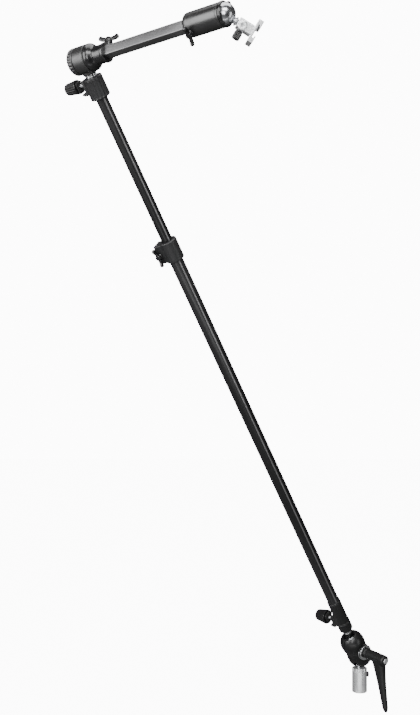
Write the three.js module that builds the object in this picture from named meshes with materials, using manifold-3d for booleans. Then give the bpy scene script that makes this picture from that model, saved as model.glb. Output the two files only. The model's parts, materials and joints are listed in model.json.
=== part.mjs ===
// Reflector holder arm: a stand socket with a double ball joint and one clamping lever, a two-section
// telescopic pole with a screw clip for the rim of a reflector near each end, and an elbow with a
// square arm whose ball head carries an accessory shoe.
// Millimetres, +Z up. The origin is the middle of the stand socket's mouth.

import * as THREE from 'three';
import { mergeVertices } from 'three/addons/utils/BufferGeometryUtils.js';
import Module from 'manifold-3d';

const wasm = await Module();
wasm.setup();

// Pose of the assembly, in degrees
const jointPose = { azimuth: -132.1, lean: 39.6, spin: 79.2 };
const polePose = { azimuth: -130.9, lean: 35.5, spin: 99.6 };
const leverSwing = -33.7;
const armRoll = 45;
const headPose = { pan: 11, tilt: 53.5, twist: 128.5 };

// Fits shared by the whole assembly
const seatGap = 0.3;
const cutOverrun = 1;

// Facets of the round pieces
const facets = { fine: 24, round: 18, small: 12, tiny: 8, arc: 4 };

// Stand socket and the stem above it
const socket = {
  radius: 14.5, length: 47, boreRadius: 8.15, boreDepth: 40, mouthChamfer: 0.9, topChamfer: 0.7,
  crownHeight: 6, crownGroove: 1.2, crownGrooveDepth: 0.7, scallopRadius: 2.1, scallopOut: 0.9,
};
const scallopCount = 12;
const setScrew = {
  height: 34, shankRadius: 2.5, headRadius: 5.2, headLength: 3.2, recessRadius: 2.2, recessDepth: 1.8,
};
const stem = {
  pinRadius: 4, pinLength: 6.2, neckRadius: 4.7, spigotRadius: 3, spigotPastCentre: 4.5,
};

// Double ball joint
const joint = {
  ballRadius: 13.5, ballFlat: 12.4, ballSpacing: 38, lowerBallHeight: 71.5,
  linerWall: 2.2, lobeRadius: 23.4, waistRadius: 21.4, splitGap: 1.6,
  nearBossRadius: 14, nearBossReach: 19, farBossRadius: 12, farBossReach: 19.5,
};
const linerStartAngle = 108;
const linerSweepAngle = 32;
const shellMouthAngle = 33;
const notch = { halfWidth: 6.7, pastCentre: 4.2 };
const notchTurn = 10.9;
const clampBolt = { radius: 4, headRadius: 8.2, headLength: 5.4, headFlat: 5, tailInLever: 34 };
const clampWasher = { radius: 14.6, thickness: 1.8, dish: 0.5 };
const clampSpacer = { radius: 12.4, thickness: 2.2 };

// Clamping lever
const lever = {
  hubBaseRadius: 9.8, hubTopRadius: 10.6, hubLength: 49, hubEdge: 1.6, armLength: 100,
  armRootWidth: 22, armRootDepth: 31, armTipWidth: 10, armTipDepth: 9, armBelowTop: 18,
  buttonRadius: 5.2, buttonDepth: 8, buttonProud: 1.4,
};
const armOutwardLean = 13;
const armStations = 9;

// Pole: places along it are measured from the upper ball's centre, each from the piece below it
const poleStud = {
  neckLength: 14.4, collarRadius: 7.6, collarLength: 9.4, shankRadius: 6, shankLength: 17, ledgeRadius: 4.4,
};
const studCollarStart = joint.ballFlat + seatGap + poleStud.neckLength;
const studShankStart = studCollarStart + poleStud.collarLength;
const bottomCap = {
  footGap: 0.5, length: 75, tubeSeat: 19.3, clipRise: 20, radius: 12.4, flaredRadius: 13.3,
  fluteLength: 20, fluteDepth: 0.6, edge: 0.8,
};
bottomCap.start = studShankStart + bottomCap.footGap;
bottomCap.end = bottomCap.start + bottomCap.length;
const fluteCount = 18;
const outerTube = { radius: 11, wallThickness: 1.3, length: 815.7, grooveWidth: 5.2, grooveDepth: 0.7 };
outerTube.start = bottomCap.start + bottomCap.tubeSeat;
outerTube.end = outerTube.start + outerTube.length;
const innerTube = {
  radius: 8.8, wallThickness: 1.2, hiddenLength: 442, shownLength: 280, grooveWidth: 5.2, grooveDepth: 0.6,
};
innerTube.start = outerTube.end - innerTube.hiddenLength;
innerTube.end = outerTube.end + innerTube.shownLength;
const grooveAngle = -31.5;
const bush = { length: 12, clearance: 0.35, spigotLength: 14 };
const collar = {
  hold: 12, length: 35, radius: 14.6, lugReach: 21.5, lugFront: 13, lugBack: 7.2, lugTaper: 1.6,
  slit: 2.2, edge: 1, screwRise: 16, screwReach: 16.5, nutAcross: 8.5, nutThickness: 3.6,
};
collar.start = outerTube.end - collar.hold;
collar.end = collar.start + collar.length;
collar.screwHeight = collar.start + collar.screwRise;
const collarLugAngle = 182;
const topCap = { hold: 18, length: 32.2, aboveJaw: 0.7, radius: 15, fluteDepth: 0.9, edge: 1.2 };
topCap.start = innerTube.end - topCap.hold;
topCap.end = topCap.start + topCap.length;
const topFluteCount = 18;

// Reflector clips
const bottomClip = {
  height: bottomCap.start + bottomCap.clipRise,
  jawWidth: 17, jawAbove: 10, jawBelow: 15, fixedFace: 22.6, gap: 9, jawThickness: 2, padThickness: 1.2,
  padInset: 1.6, clawDepth: 6.4, clawHeight: 4.6, screwRadius: 3, screwDepth: 9,
  knobLength: 24, knobInnerRadius: 14, knobOuterRadius: 10.4, knobNeckRadius: 6.5, knobNeckLength: 1,
  knobRibDepth: 0.8, knobEdge: 1.6,
};
const topJawAbove = 7.5;
const topClip = {
  ...bottomClip, height: topCap.end - topCap.aboveJaw - topJawAbove, jawAbove: topJawAbove,
  jawWidth: 15, fixedFace: 18, gap: 6.2, screwDepth: 6.5,
  knobLength: 21.5, knobInnerRadius: 10.8, knobOuterRadius: 8.8, knobNeckRadius: 5.5,
};
const bottomClipTurn = -14.4;
const knobRibCount = 16;

// Elbow: places along the arm are measured from the middle of the drum
const elbow = {
  drumRadius: 19.7, knobEnd: -16, knobStart: -8, knobDome: 4.2, drumEnd: 12, discThickness: 1.2,
  discRadius: 18.4, footRadius: 11, footProud: 1.3, ribDepth: 0.8, ribLength: 6.4, edge: 0.7,
};
elbow.footDrop = elbow.drumRadius + elbow.footProud;
const elbowRibCount = 24;
const elbowBolt = { radius: 4, inSleeve: 5.5 };
const topStud = { radius: 5, belowCapTop: 16, intoDrum: 13, washerRadius: 9, washerLength: 4.2 };
const drumFoot = topCap.end + topStud.washerLength + 2 * seatGap;
elbow.height = drumFoot + elbow.footDrop;
const discSeat = elbow.drumEnd + seatGap;
const sleeveSeat = discSeat + elbow.discThickness + seatGap;

// Square arm tube, the sleeve that holds it and the screw across them
const armTube = { side: 14.5, corner: 1.4, wallThickness: 1.6, length: 185.7 };
const squareFit = 0.3;
const squareReach = (armTube.side / 2 + squareFit) * Math.SQRT2 - armTube.corner * (Math.SQRT2 - 1);

// A casting's radius goes up to the next whole step, so that its wall is never thinner than its named one
const castingStep = 0.1;
const castingRadius = (least) => Math.ceil(least / castingStep) * castingStep;
const sleeve = {
  shoulderLength: 12.7, neckWall: 3.2, neckLength: 16.5, floor: 5.7, lipLength: 4.4, lipProud: 0.9,
  lipGroove: 0.8, lugRadius: 6.4, lugReach: 14.8, lugPastNeck: 1.5,
};
sleeve.neckRadius = castingRadius(squareReach + sleeve.neckWall);
sleeve.lipRadius = sleeve.neckRadius + sleeve.lipProud;
sleeve.tubeStop = sleeveSeat + sleeve.floor;
sleeve.shoulderEnd = sleeveSeat + sleeve.shoulderLength;
sleeve.neckEnd = sleeve.shoulderEnd + sleeve.neckLength;
sleeve.lugPlace = sleeve.neckEnd + sleeve.lugPastNeck;
const sleeveScrewAngle = 45;
armTube.start = sleeve.tubeStop + seatGap;
armTube.end = armTube.start + armTube.length;

// Ball head: a square socket at one end, the ball at the other, and a screw across each
const head = {
  socketDepth: 26, tubeRoom: 0.5, web: 7, boreDepth: 22.7, ballPastEnd: 1.8, ballRadius: 15.2,
  ballRoom: 0.2, wallThickness: 1.4, startWall: 1.9, shoulderLength: 7, ringLength: 5, ringProud: 0.5,
  ringEdge: 0.8, seatFit: 0.4, seatLength: 12, boreClearance: 0.35,
};
head.tubeStop = armTube.end + head.tubeRoom;
head.start = head.tubeStop - head.socketDepth;
head.boreStart = head.tubeStop + head.web;
head.end = head.boreStart + head.boreDepth;
head.ballPlace = head.end + head.ballPastEnd;
head.boreRadius = head.ballRadius + head.ballRoom;
head.seatRadius = head.boreRadius - head.seatFit;
head.radius = head.boreRadius + head.wallThickness;
head.ringRadius = head.radius + head.ringProud;
head.startRadius = castingRadius(squareReach + head.startWall);
const ballLock = { alongBore: 11, angle: 20 };
ballLock.place = head.boreStart + ballLock.alongBore;
const housingScrew = { alongSocket: 8, angle: 202 };
housingScrew.place = head.start + housingScrew.alongSocket;

// Stud of the ball: places along it are measured from the ball's centre
const headStud = {
  neckRadius: 4.4, neckShown: 1.2, collarRadius: 6.2, collarLength: 2.6, blockGap: 1.4, tailRadius: 3.9,
};
headStud.collarStart = head.ballRadius + headStud.neckShown;

// Accessory shoe
const shoe = {
  blockHeight: 21.6, blockWidth: 14, blockDepth: 15, blockCorner: 2, tailDepth: 17,
  eyeRise: 7.6, eyeRadius: 6.2, eyeProud: 2, eyeHoleRadius: 2.4, eyeHoleDepth: 4, eyeOffset: 2.2,
  plateWidth: 33, plateLength: 24, plateThickness: 3.2, plateCorner: 2, slotWidth: 18.9,
  railHeight: 2.3, lipThickness: 1.8, lipReach: 3.1, stopThickness: 1.6,
};
shoe.blockStart = headStud.collarStart + headStud.collarLength + headStud.blockGap;
shoe.blockEnd = shoe.blockStart + shoe.blockHeight;
shoe.eyePlace = shoe.blockStart + shoe.eyeRise;
const thumb = {
  place: shoe.eyePlace, radius: 5.4, length: 11.8, gripStart: 1.6, ribDepth: 0.45, screwRadius: 2.2,
  edge: 0.8,
};
const thumbRibCount = 20;

// Winged screws
const wing = {
  hubRadius: 4.8, hubLength: 7.4, baseRadius: 5.6, baseLength: 2, span: 16.3, earRadius: 4.8, earHeight: 7,
  thickness: 4.6, bevel: 0.8, stemRadius: 2.8, waist: 3.2,
};

// Finishes
const finishes = {
  chrome: { color: 0xc9cbce, roughness: 0.25, metalness: 1 },
  zinc: { color: 0xb4b6ba, roughness: 0.35, metalness: 1 },
  steel: { color: 0x8d9095, roughness: 0.3, metalness: 1 },
  gloss: { color: 0x0e0f11, roughness: 0.25, metalness: 0 },
  anodised: { color: 0x17181b, roughness: 0.3, metalness: 0.4 },
  satin: { color: 0x26282b, roughness: 0.5, metalness: 0.1 },
  silverTube: { color: 0x6c6f73, roughness: 0.4, metalness: 0.8 },
  nylon: { color: 0x1b1c1e, roughness: 0.6, metalness: 0 },
  rubber: { color: 0x121213, roughness: 0.85, metalness: 0 },
};

const radians = THREE.MathUtils.degToRad;

// Turns a closed geometry into a solid: merged corners, no slivers, faces pointing out.
function solid(geometry) {
  const bare = geometry.clone();
  bare.deleteAttribute('normal');
  bare.deleteAttribute('uv');
  const merged = mergeVertices(bare, 1e-4);
  const places = merged.attributes.position.array;
  const corners = [];
  const index = merged.index.array;
  let volume = 0;
  const a = new THREE.Vector3();
  const b = new THREE.Vector3();
  const c = new THREE.Vector3();
  for (let i = 0; i < index.length; i += 3) {
    const [p, q, r] = [index[i], index[i + 1], index[i + 2]];
    if (p === q || q === r || r === p) continue;
    corners.push(p, q, r);
    a.fromArray(places, 3 * p);
    b.fromArray(places, 3 * q);
    c.fromArray(places, 3 * r);
    volume += a.dot(b.cross(c));
  }
  if (volume < 0) corners.reverse();
  const mesh = new wasm.Mesh({
    numProp: 3,
    vertProperties: new Float32Array(places),
    triVerts: new Uint32Array(corners),
  });
  mesh.merge();
  return new wasm.Manifold(mesh);
}

function toGeometry(body) {
  const mesh = body.getMesh();
  const geometry = new THREE.BufferGeometry();
  geometry.setAttribute('position', new THREE.BufferAttribute(new Float32Array(mesh.vertProperties), 3));
  geometry.setIndex(new THREE.BufferAttribute(new Uint32Array(mesh.triVerts), 1));
  return geometry;
}

// Profile of [radius, height] points turned about +Z. The points go once round the section.
function turnedZ(profile, count = facets.round) {
  const points = profile.map(([radius, height]) => new THREE.Vector2(radius, height));
  points.push(points[0].clone());
  return solid(new THREE.LatheGeometry(points, count).rotateX(Math.PI / 2));
}

// The same profile turned about +X, heights running along X.
function turnedX(profile, count = facets.round) {
  const points = profile.map(([radius, height]) => new THREE.Vector2(radius, height));
  points.push(points[0].clone());
  return solid(new THREE.LatheGeometry(points, count).rotateZ(-Math.PI / 2));
}

// Rod with an optional chamfer at both ends, along Z or X.
function rodProfile(radius, start, end, edge = 0) {
  return [
    [0, start], [radius - edge, start], [radius, start + edge], [radius, end - edge],
    [radius - edge, end], [0, end],
  ];
}

function rodZ(radius, start, end, edge = 0, count = facets.small) {
  return turnedZ(rodProfile(radius, start, end, edge), count);
}

function rodX(radius, start, end, edge = 0, count = facets.small) {
  return turnedX(rodProfile(radius, start, end, edge), count);
}

// Straight extrusion of an outline in XY from one height to another.
function raised(shape, start, end, curveSegments = facets.arc) {
  const geometry = new THREE.ExtrudeGeometry(shape, {
    depth: end - start, bevelEnabled: false, curveSegments,
  });
  return solid(geometry.translate(0, 0, start));
}

// The same extrusion along X: the outline's x becomes Y and its y becomes Z.
function raisedX(shape, start, end, curveSegments = facets.arc) {
  const geometry = new THREE.ExtrudeGeometry(shape, {
    depth: end - start, bevelEnabled: false, curveSegments,
  });
  const turn = new THREE.Matrix4().makeBasis(
    new THREE.Vector3(0, 1, 0), new THREE.Vector3(0, 0, 1), new THREE.Vector3(1, 0, 0),
  );
  return solid(geometry.translate(0, 0, start).applyMatrix4(turn));
}

function block(minimum, maximum) {
  const size = maximum.map((value, axis) => value - minimum[axis]);
  const middle = maximum.map((value, axis) => (value + minimum[axis]) / 2);
  return solid(new THREE.BoxGeometry(...size).translate(...middle));
}

// Outline of a rectangle with round corners, centred on (x, y).
function roundedRectangle(width, height, corner, x = 0, y = 0) {
  const shape = new THREE.Shape();
  const [w, h] = [width / 2, height / 2];
  shape.moveTo(x - w + corner, y - h);
  shape.lineTo(x + w - corner, y - h);
  shape.absarc(x + w - corner, y - h + corner, corner, -Math.PI / 2, 0);
  shape.lineTo(x + w, y + h - corner);
  shape.absarc(x + w - corner, y + h - corner, corner, 0, Math.PI / 2);
  shape.lineTo(x - w + corner, y + h);
  shape.absarc(x - w + corner, y + h - corner, corner, Math.PI / 2, Math.PI);
  shape.lineTo(x - w, y - h + corner);
  shape.absarc(x - w + corner, y - h + corner, corner, Math.PI, 1.5 * Math.PI);
  return shape;
}

// Outline of a grip with shallow flutes: the radius dips once for each flute.
function flutedShape(radius, depth, count, steps = 4) {
  const shape = new THREE.Shape();
  for (let i = 0; i < count * steps; i += 1) {
    const angle = (2 * Math.PI * i) / (count * steps);
    const reach = radius - depth * Math.abs(Math.sin((angle * count) / 2)) ** 2;
    if (i === 0) shape.moveTo(reach * Math.cos(angle), reach * Math.sin(angle));
    else shape.lineTo(reach * Math.cos(angle), reach * Math.sin(angle));
  }
  return shape;
}

// Arc points [radius, height] about a centre on the axis, angles measured from -Z.
function arc(radius, centre, from, to, steps = facets.arc) {
  const points = [];
  for (let i = 0; i <= steps; i += 1) {
    const angle = radians(from + ((to - from) * i) / steps);
    points.push([radius * Math.sin(angle), centre - radius * Math.cos(angle)]);
  }
  return points;
}

const part = new THREE.Group();

function frameAt(parent, position = [0, 0, 0], quaternion = new THREE.Quaternion()) {
  const frame = new THREE.Group();
  frame.position.set(...position);
  frame.quaternion.copy(quaternion);
  parent.add(frame);
  return frame;
}

function piece(frame, name, body, finish) {
  const mesh = new THREE.Mesh(toGeometry(body), new THREE.MeshStandardMaterial(finishes[finish]));
  mesh.name = name;
  frame.add(mesh);
  return mesh;
}

const unitX = new THREE.Vector3(1, 0, 0);
const unitY = new THREE.Vector3(0, 1, 0);
const unitZ = new THREE.Vector3(0, 0, 1);

function turnAbout(axis, degrees) {
  return new THREE.Quaternion().setFromAxisAngle(axis, radians(degrees));
}

// Orientation of a leaning axis: azimuth round the vertical, lean from it, then spin about the axis.
function leaning({ azimuth, lean, spin }) {
  return turnAbout(unitZ, azimuth).multiply(turnAbout(unitY, lean)).multiply(turnAbout(unitZ, spin));
}

// Frames of the sub-assemblies
const jointFrame = frameAt(part, [0, 0, joint.lowerBallHeight], leaning(jointPose));
const upperBall = new THREE.Vector3(0, 0, joint.ballSpacing)
  .applyQuaternion(jointFrame.quaternion)
  .add(jointFrame.position);
const poleFrame = frameAt(part, upperBall.toArray(), leaning(polePose));
const elbowFrame = frameAt(poleFrame, [0, 0, elbow.height]);
const armFrame = frameAt(elbowFrame, [0, 0, 0], turnAbout(unitX, armRoll));
const studTurn = turnAbout(unitX, headPose.pan)
  .multiply(turnAbout(unitY, 90 + headPose.tilt))
  .multiply(turnAbout(unitZ, headPose.twist));
const studFrame = frameAt(elbowFrame, [head.ballPlace, 0, 0], studTurn);

// Stand socket: a bored receiver with a scalloped crown and a set screw from the side
function standSocket() {
  const { radius, length, mouthChamfer, topChamfer, crownHeight, crownGroove, crownGrooveDepth } = socket;
  const crownBase = length - crownHeight;
  let body = turnedZ([
    [0, 0], [radius - mouthChamfer, 0], [radius, mouthChamfer], [radius, crownBase - crownGroove],
    [radius - crownGrooveDepth, crownBase - crownGroove], [radius - crownGrooveDepth, crownBase],
    [radius, crownBase], [radius, length - topChamfer], [radius - topChamfer, length], [0, length],
  ], facets.fine);
  for (let i = 0; i < scallopCount; i += 1) {
    const angle = (2 * Math.PI * i) / scallopCount;
    const reach = radius + socket.scallopOut;
    const cut = solid(new THREE.CylinderGeometry(
      socket.scallopRadius, socket.scallopRadius, crownHeight + cutOverrun, facets.tiny,
    ).rotateX(Math.PI / 2).translate(
      reach * Math.cos(angle), reach * Math.sin(angle), crownBase + (crownHeight + cutOverrun) / 2,
    ));
    body = body.subtract(cut);
  }
  body = body.subtract(rodZ(socket.boreRadius, -cutOverrun, socket.boreDepth, 0, facets.round));
  body = body.subtract(rodZ(stem.pinRadius + seatGap, 0, length + cutOverrun));
  const screwHole = turnedX(rodProfile(setScrew.shankRadius + seatGap, 0, radius + cutOverrun), facets.tiny)
    .translate([0, 0, setScrew.height]);
  return body.subtract(screwHole);
}
piece(part, 'stand_socket', standSocket(), 'chrome');

const neckTop = joint.lowerBallHeight - joint.ballFlat - seatGap;
function ballStem() {
  const seat = socket.length + seatGap;
  return turnedZ([
    [0, socket.length - stem.pinLength], [stem.pinRadius, socket.length - stem.pinLength],
    [stem.pinRadius, seat], [stem.neckRadius, seat], [stem.neckRadius, neckTop],
    [stem.spigotRadius, neckTop], [stem.spigotRadius, joint.lowerBallHeight + stem.spigotPastCentre],
    [0, joint.lowerBallHeight + stem.spigotPastCentre],
  ]);
}
piece(part, 'ball_stem', ballStem(), 'steel');

const setScrewFrame = frameAt(part, [0, 0, setScrew.height]);
function socketSetScrew() {
  const seat = socket.radius + seatGap;
  const body = turnedX([
    [0, socket.boreRadius + seatGap], [setScrew.shankRadius, socket.boreRadius + seatGap],
    [setScrew.shankRadius, seat], [setScrew.headRadius, seat],
    [setScrew.headRadius, seat + setScrew.headLength - setScrew.recessDepth / 2],
    [setScrew.headRadius - setScrew.recessDepth / 2, seat + setScrew.headLength],
    [0, seat + setScrew.headLength],
  ]);
  const top = seat + setScrew.headLength;
  return body.subtract(rodX(setScrew.recessRadius, top - setScrew.recessDepth, top + cutOverrun, 0, 6));
}
piece(setScrewFrame, 'socket_set_screw', socketSetScrew(), 'gloss');

// Balls: each is bored and faced flat on the side of the shank that carries it
function boredBall(spigotRadius, spigotPastCentre) {
  const ball = solid(new THREE.SphereGeometry(joint.ballRadius, facets.round, facets.round / 2)
    .rotateX(Math.PI / 2));
  const face = block(
    [-joint.ballRadius, -joint.ballRadius, -joint.ballRadius - cutOverrun],
    [joint.ballRadius, joint.ballRadius, -joint.ballFlat],
  );
  const bore = rodZ(spigotRadius + seatGap, -joint.ballRadius - cutOverrun, spigotPastCentre + seatGap);
  return ball.subtract(face).subtract(bore);
}
const lowerBallFrame = frameAt(part, [0, 0, joint.lowerBallHeight]);
piece(lowerBallFrame, 'lower_ball', boredBall(stem.spigotRadius, stem.spigotPastCentre), 'steel');

// Friction liner: a zone of a hollow sphere that the ball rests in, behind its middle
function liner() {
  const inner = joint.ballRadius + seatGap;
  const outer = inner + joint.linerWall;
  return turnedZ([
    ...arc(outer, 0, linerStartAngle, linerStartAngle + linerSweepAngle),
    ...arc(inner, 0, linerStartAngle + linerSweepAngle, linerStartAngle),
  ]);
}
piece(jointFrame, 'lower_liner', liner(), 'nylon');
const upperLinerFrame = frameAt(jointFrame, [0, 0, joint.ballSpacing], turnAbout(unitX, 180));
piece(upperLinerFrame, 'upper_liner', liner(), 'nylon');

// Clamping shells: two lobes and a waist, hollowed for the balls, opened to a mouth at each end and
// split across the bolt
function clampShells() {
  const { lobeRadius, waistRadius, ballSpacing } = joint;
  const mouth = shellMouthAngle;
  const waist = new THREE.CubicBezierCurve(
    new THREE.Vector2(lobeRadius, 0),
    new THREE.Vector2(lobeRadius, ballSpacing / 3),
    new THREE.Vector2(waistRadius, ballSpacing / 3),
    new THREE.Vector2(waistRadius, ballSpacing / 2),
  ).getPoints(facets.arc / 2).map((point) => [point.x, point.y]);
  const lowerHalf = [...arc(lobeRadius, 0, mouth, 90, facets.arc / 2), ...waist.slice(1)];
  const upperHalf = lowerHalf.slice(0, -1).reverse().map(([r, z]) => [r, ballSpacing - z]);
  const rimDrop = lowerHalf[0][1];
  const outer = turnedZ([[0, rimDrop], ...lowerHalf, ...upperHalf, [0, ballSpacing - rimDrop]], facets.fine);
  const grip = joint.ballRadius + 2 * seatGap;
  const linerRoom = joint.ballRadius + joint.linerWall + 3 * seatGap;
  const shelf = joint.ballRadius * Math.sin(radians(linerStartAngle - 90));
  const hollow = solid(new THREE.SphereGeometry(linerRoom, facets.round, facets.round / 2)
    .rotateX(Math.PI / 2))
    .intersect(block([-lobeRadius, -lobeRadius, shelf], [lobeRadius, lobeRadius, lobeRadius]));
  const coneTop = grip * Math.cos(radians(mouth));
  const funnel = turnedZ([
    [0, 0], [grip * Math.sin(radians(mouth)), -coneTop],
    [lobeRadius * Math.sin(radians(mouth)) - 2 * seatGap, rimDrop - cutOverrun / 2],
    [0, rimDrop - cutOverrun / 2],
  ]);
  const slot = block([-notch.halfWidth, -lobeRadius - cutOverrun, rimDrop * 2],
    [notch.halfWidth, 0, notch.pastCentre]).rotate([0, 0, notchTurn]);
  const cavity = solid(new THREE.SphereGeometry(grip, facets.round, facets.round / 2)
    .rotateX(Math.PI / 2))
    .add(hollow)
    .add(funnel);
  let body = outer
    .add(rodX(joint.nearBossRadius, 0, joint.nearBossReach).translate([0, 0, ballSpacing / 2]))
    .add(rodX(joint.farBossRadius, -joint.farBossReach, 0).translate([0, 0, ballSpacing / 2]))
    .subtract(rodX(clampWasher.radius + cutOverrun, joint.nearBossReach, lobeRadius + cutOverrun)
      .translate([0, 0, ballSpacing / 2]))
    .subtract(rodX(joint.farBossRadius, -lobeRadius - cutOverrun, -joint.farBossReach)
      .translate([0, 0, ballSpacing / 2]));
  body = body.subtract(cavity).subtract(slot);
  body = body.subtract(cavity.rotate([180, 0, 0]).translate([0, 0, ballSpacing]));
  const bore = rodX(clampBolt.radius + seatGap, -lobeRadius - cutOverrun, lobeRadius + cutOverrun);
  return body.subtract(bore.translate([0, 0, ballSpacing / 2]));
}

const shells = clampShells();
function shellHalf(side) {
  const reach = 2 * joint.lobeRadius;
  const inner = (side * joint.splitGap) / 2;
  const [low, high] = side > 0 ? [inner, reach] : [-reach, inner];
  return shells.intersect(block([low, -reach, -reach], [high, reach, joint.ballSpacing + reach]));
}
piece(jointFrame, 'clamp_shell_near', shellHalf(1), 'gloss');
piece(jointFrame, 'clamp_shell_far', shellHalf(-1), 'gloss');

const boltFrame = frameAt(jointFrame, [0, 0, joint.ballSpacing / 2]);
const washerSeat = joint.nearBossReach + seatGap;
const spacerSeat = washerSeat + clampWasher.thickness + seatGap;
const outerWasherSeat = spacerSeat + clampSpacer.thickness + seatGap;
const hubSeat = outerWasherSeat + clampWasher.thickness + seatGap;
function clampBoltBody() {
  const seat = -joint.farBossReach - seatGap;
  const end = hubSeat + clampBolt.tailInLever;
  const shank = rodX(clampBolt.radius, seat - clampBolt.headLength / 2, end, 0.6 * seatGap);
  const dome = turnedX([
    [0, seat - clampBolt.headLength], [clampBolt.headFlat, seat - clampBolt.headLength],
    [clampBolt.headRadius, seat - clampBolt.headLength / 2], [clampBolt.headRadius, seat], [0, seat],
  ]);
  return shank.add(dome);
}
piece(boltFrame, 'clamp_bolt', clampBoltBody(), 'zinc');

function washer(seat, radius, thickness, dish) {
  return turnedX([
    [clampBolt.radius + seatGap, seat], [radius - dish, seat], [radius, seat + dish],
    [radius, seat + thickness - dish], [radius - dish, seat + thickness],
    [clampBolt.radius + seatGap, seat + thickness],
  ]);
}
const pressRing = (seat, { radius, thickness }) => washer(seat, radius, thickness, clampWasher.dish);
piece(boltFrame, 'clamp_washer_inner', pressRing(washerSeat, clampWasher), 'chrome');
piece(boltFrame, 'clamp_spacer', pressRing(spacerSeat, clampSpacer), 'nylon');
piece(boltFrame, 'clamp_washer_outer', pressRing(outerWasherSeat, clampWasher), 'chrome');

// Clamping lever: a hub along X with a long tapered arm from its outer end
function clampLever() {
  const base = hubSeat;
  const top = hubSeat + lever.hubLength;
  let body = turnedX([
    [0, base], [lever.hubBaseRadius - lever.hubEdge / 2, base],
    [lever.hubBaseRadius, base + lever.hubEdge / 2],
    [lever.hubTopRadius, top - lever.hubEdge * 2], [lever.hubTopRadius - lever.hubEdge, top],
    [0, top],
  ]);
  body = body.add(leverArm(top - lever.armBelowTop));
  const boltEnd = base + clampBolt.tailInLever + seatGap;
  body = body.subtract(rodX(clampBolt.radius + seatGap, base - cutOverrun, boltEnd));
  return body.subtract(rodX(lever.buttonRadius + seatGap, top - lever.buttonDepth, top + cutOverrun));
}

// Loft of oval sections running down from the hub and leaning outwards
function leverArm(place) {
  const around = facets.small;
  const vertices = [];
  const faces = [];
  const out = Math.tan(radians(armOutwardLean));
  for (let j = 0; j <= armStations; j += 1) {
    const t = j / armStations;
    const ease = Math.sqrt(1 - Math.max(0, (t - 0.9) / 0.1) ** 2 * 0.7);
    const swell = 1 - 0.1 * Math.sin(Math.PI * t);
    const width = THREE.MathUtils.lerp(lever.armRootWidth, lever.armTipWidth, t ** 0.8) * ease * swell;
    const depth = THREE.MathUtils.lerp(lever.armRootDepth, lever.armTipDepth, t ** 0.85) * ease * swell;
    const drop = lever.armLength * t;
    for (let i = 0; i < around; i += 1) {
      const angle = (2 * Math.PI * i) / around;
      const [ca, sa] = [Math.cos(angle), Math.sin(angle)];
      vertices.push(
        place + out * drop + (depth / 2) * Math.sign(ca) * Math.abs(ca) ** 0.85,
        (width / 2) * Math.sign(sa) * Math.abs(sa) ** 0.85,
        -drop,
      );
    }
  }
  for (let j = 0; j < armStations; j += 1) {
    for (let i = 0; i < around; i += 1) {
      const [a, b] = [j * around + i, j * around + ((i + 1) % around)];
      faces.push(a, b, a + around, b, b + around, a + around);
    }
  }
  for (let i = 1; i < around - 1; i += 1) {
    faces.push(0, i + 1, i);
    faces.push(armStations * around, armStations * around + i, armStations * around + i + 1);
  }
  const geometry = new THREE.BufferGeometry();
  geometry.setAttribute('position', new THREE.Float32BufferAttribute(vertices, 3));
  geometry.setIndex(faces);
  return solid(geometry);
}
const leverFrame = frameAt(boltFrame, [0, 0, 0], turnAbout(unitX, leverSwing));
piece(leverFrame, 'clamp_lever', clampLever(), 'satin');

function leverButton() {
  const top = hubSeat + lever.hubLength;
  const foot = top - lever.buttonDepth / 2;
  return turnedX([
    [0, foot], [lever.buttonRadius, foot], [lever.buttonRadius, top + lever.buttonProud / 2],
    [lever.buttonRadius * 0.75, top + lever.buttonProud], [0, top + lever.buttonProud],
  ]);
}
piece(leverFrame, 'lever_button', leverButton(), 'zinc');

// Upper ball and the stud that carries the pole
const upperBallFrame = frameAt(poleFrame, [0, 0, 0], turnAbout(unitX, 180));
piece(upperBallFrame, 'upper_ball', boredBall(stem.spigotRadius, stem.spigotPastCentre), 'steel');
function poleStudBody() {
  const neckStart = joint.ballFlat + seatGap;
  const [collarStart, shankStart] = [studCollarStart, studShankStart];
  return turnedZ([
    [0, -stem.spigotPastCentre], [stem.spigotRadius, -stem.spigotPastCentre], [stem.spigotRadius, neckStart],
    [poleStud.ledgeRadius, neckStart], [poleStud.ledgeRadius, collarStart],
    [poleStud.collarRadius, collarStart + seatGap], [poleStud.collarRadius, shankStart],
    [poleStud.shankRadius, shankStart], [poleStud.shankRadius, shankStart + poleStud.shankLength],
    [0, shankStart + poleStud.shankLength],
  ]);
}
piece(poleFrame, 'pole_stud', poleStudBody(), 'chrome');

// Fixed jaw of a clip: an arm from the cap to the face of the gap, hooked along its lower edge
function fixedJaw(clip) {
  const { jawWidth, jawAbove, jawBelow, fixedFace, padThickness, clawDepth, clawHeight, padInset } = clip;
  const face = -fixedFace + padThickness + seatGap;
  const outline = new THREE.Shape();
  outline.moveTo(0, jawAbove);
  outline.lineTo(face, jawAbove);
  outline.lineTo(face, -jawBelow + clawHeight);
  outline.quadraticCurveTo(
    face - padThickness, -jawBelow + clawHeight / 2,
    -fixedFace - clawDepth + padInset, -jawBelow + clawHeight,
  );
  outline.lineTo(-fixedFace - clawDepth, -jawBelow + clawHeight * 0.7);
  outline.quadraticCurveTo(
    -fixedFace - clawDepth / 2, -jawBelow - clawHeight * 0.3, face + clawDepth / 2, -jawBelow,
  );
  outline.quadraticCurveTo(face + clawDepth, -jawBelow + clawHeight, 0, -jawBelow + 1.6 * clawHeight);
  outline.closePath();
  const geometry = new THREE.ExtrudeGeometry(outline, {
    depth: jawWidth, bevelEnabled: false, curveSegments: facets.arc + 1,
  });
  return solid(geometry.rotateX(Math.PI / 2).translate(0, jawWidth / 2, 0));
}

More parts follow.
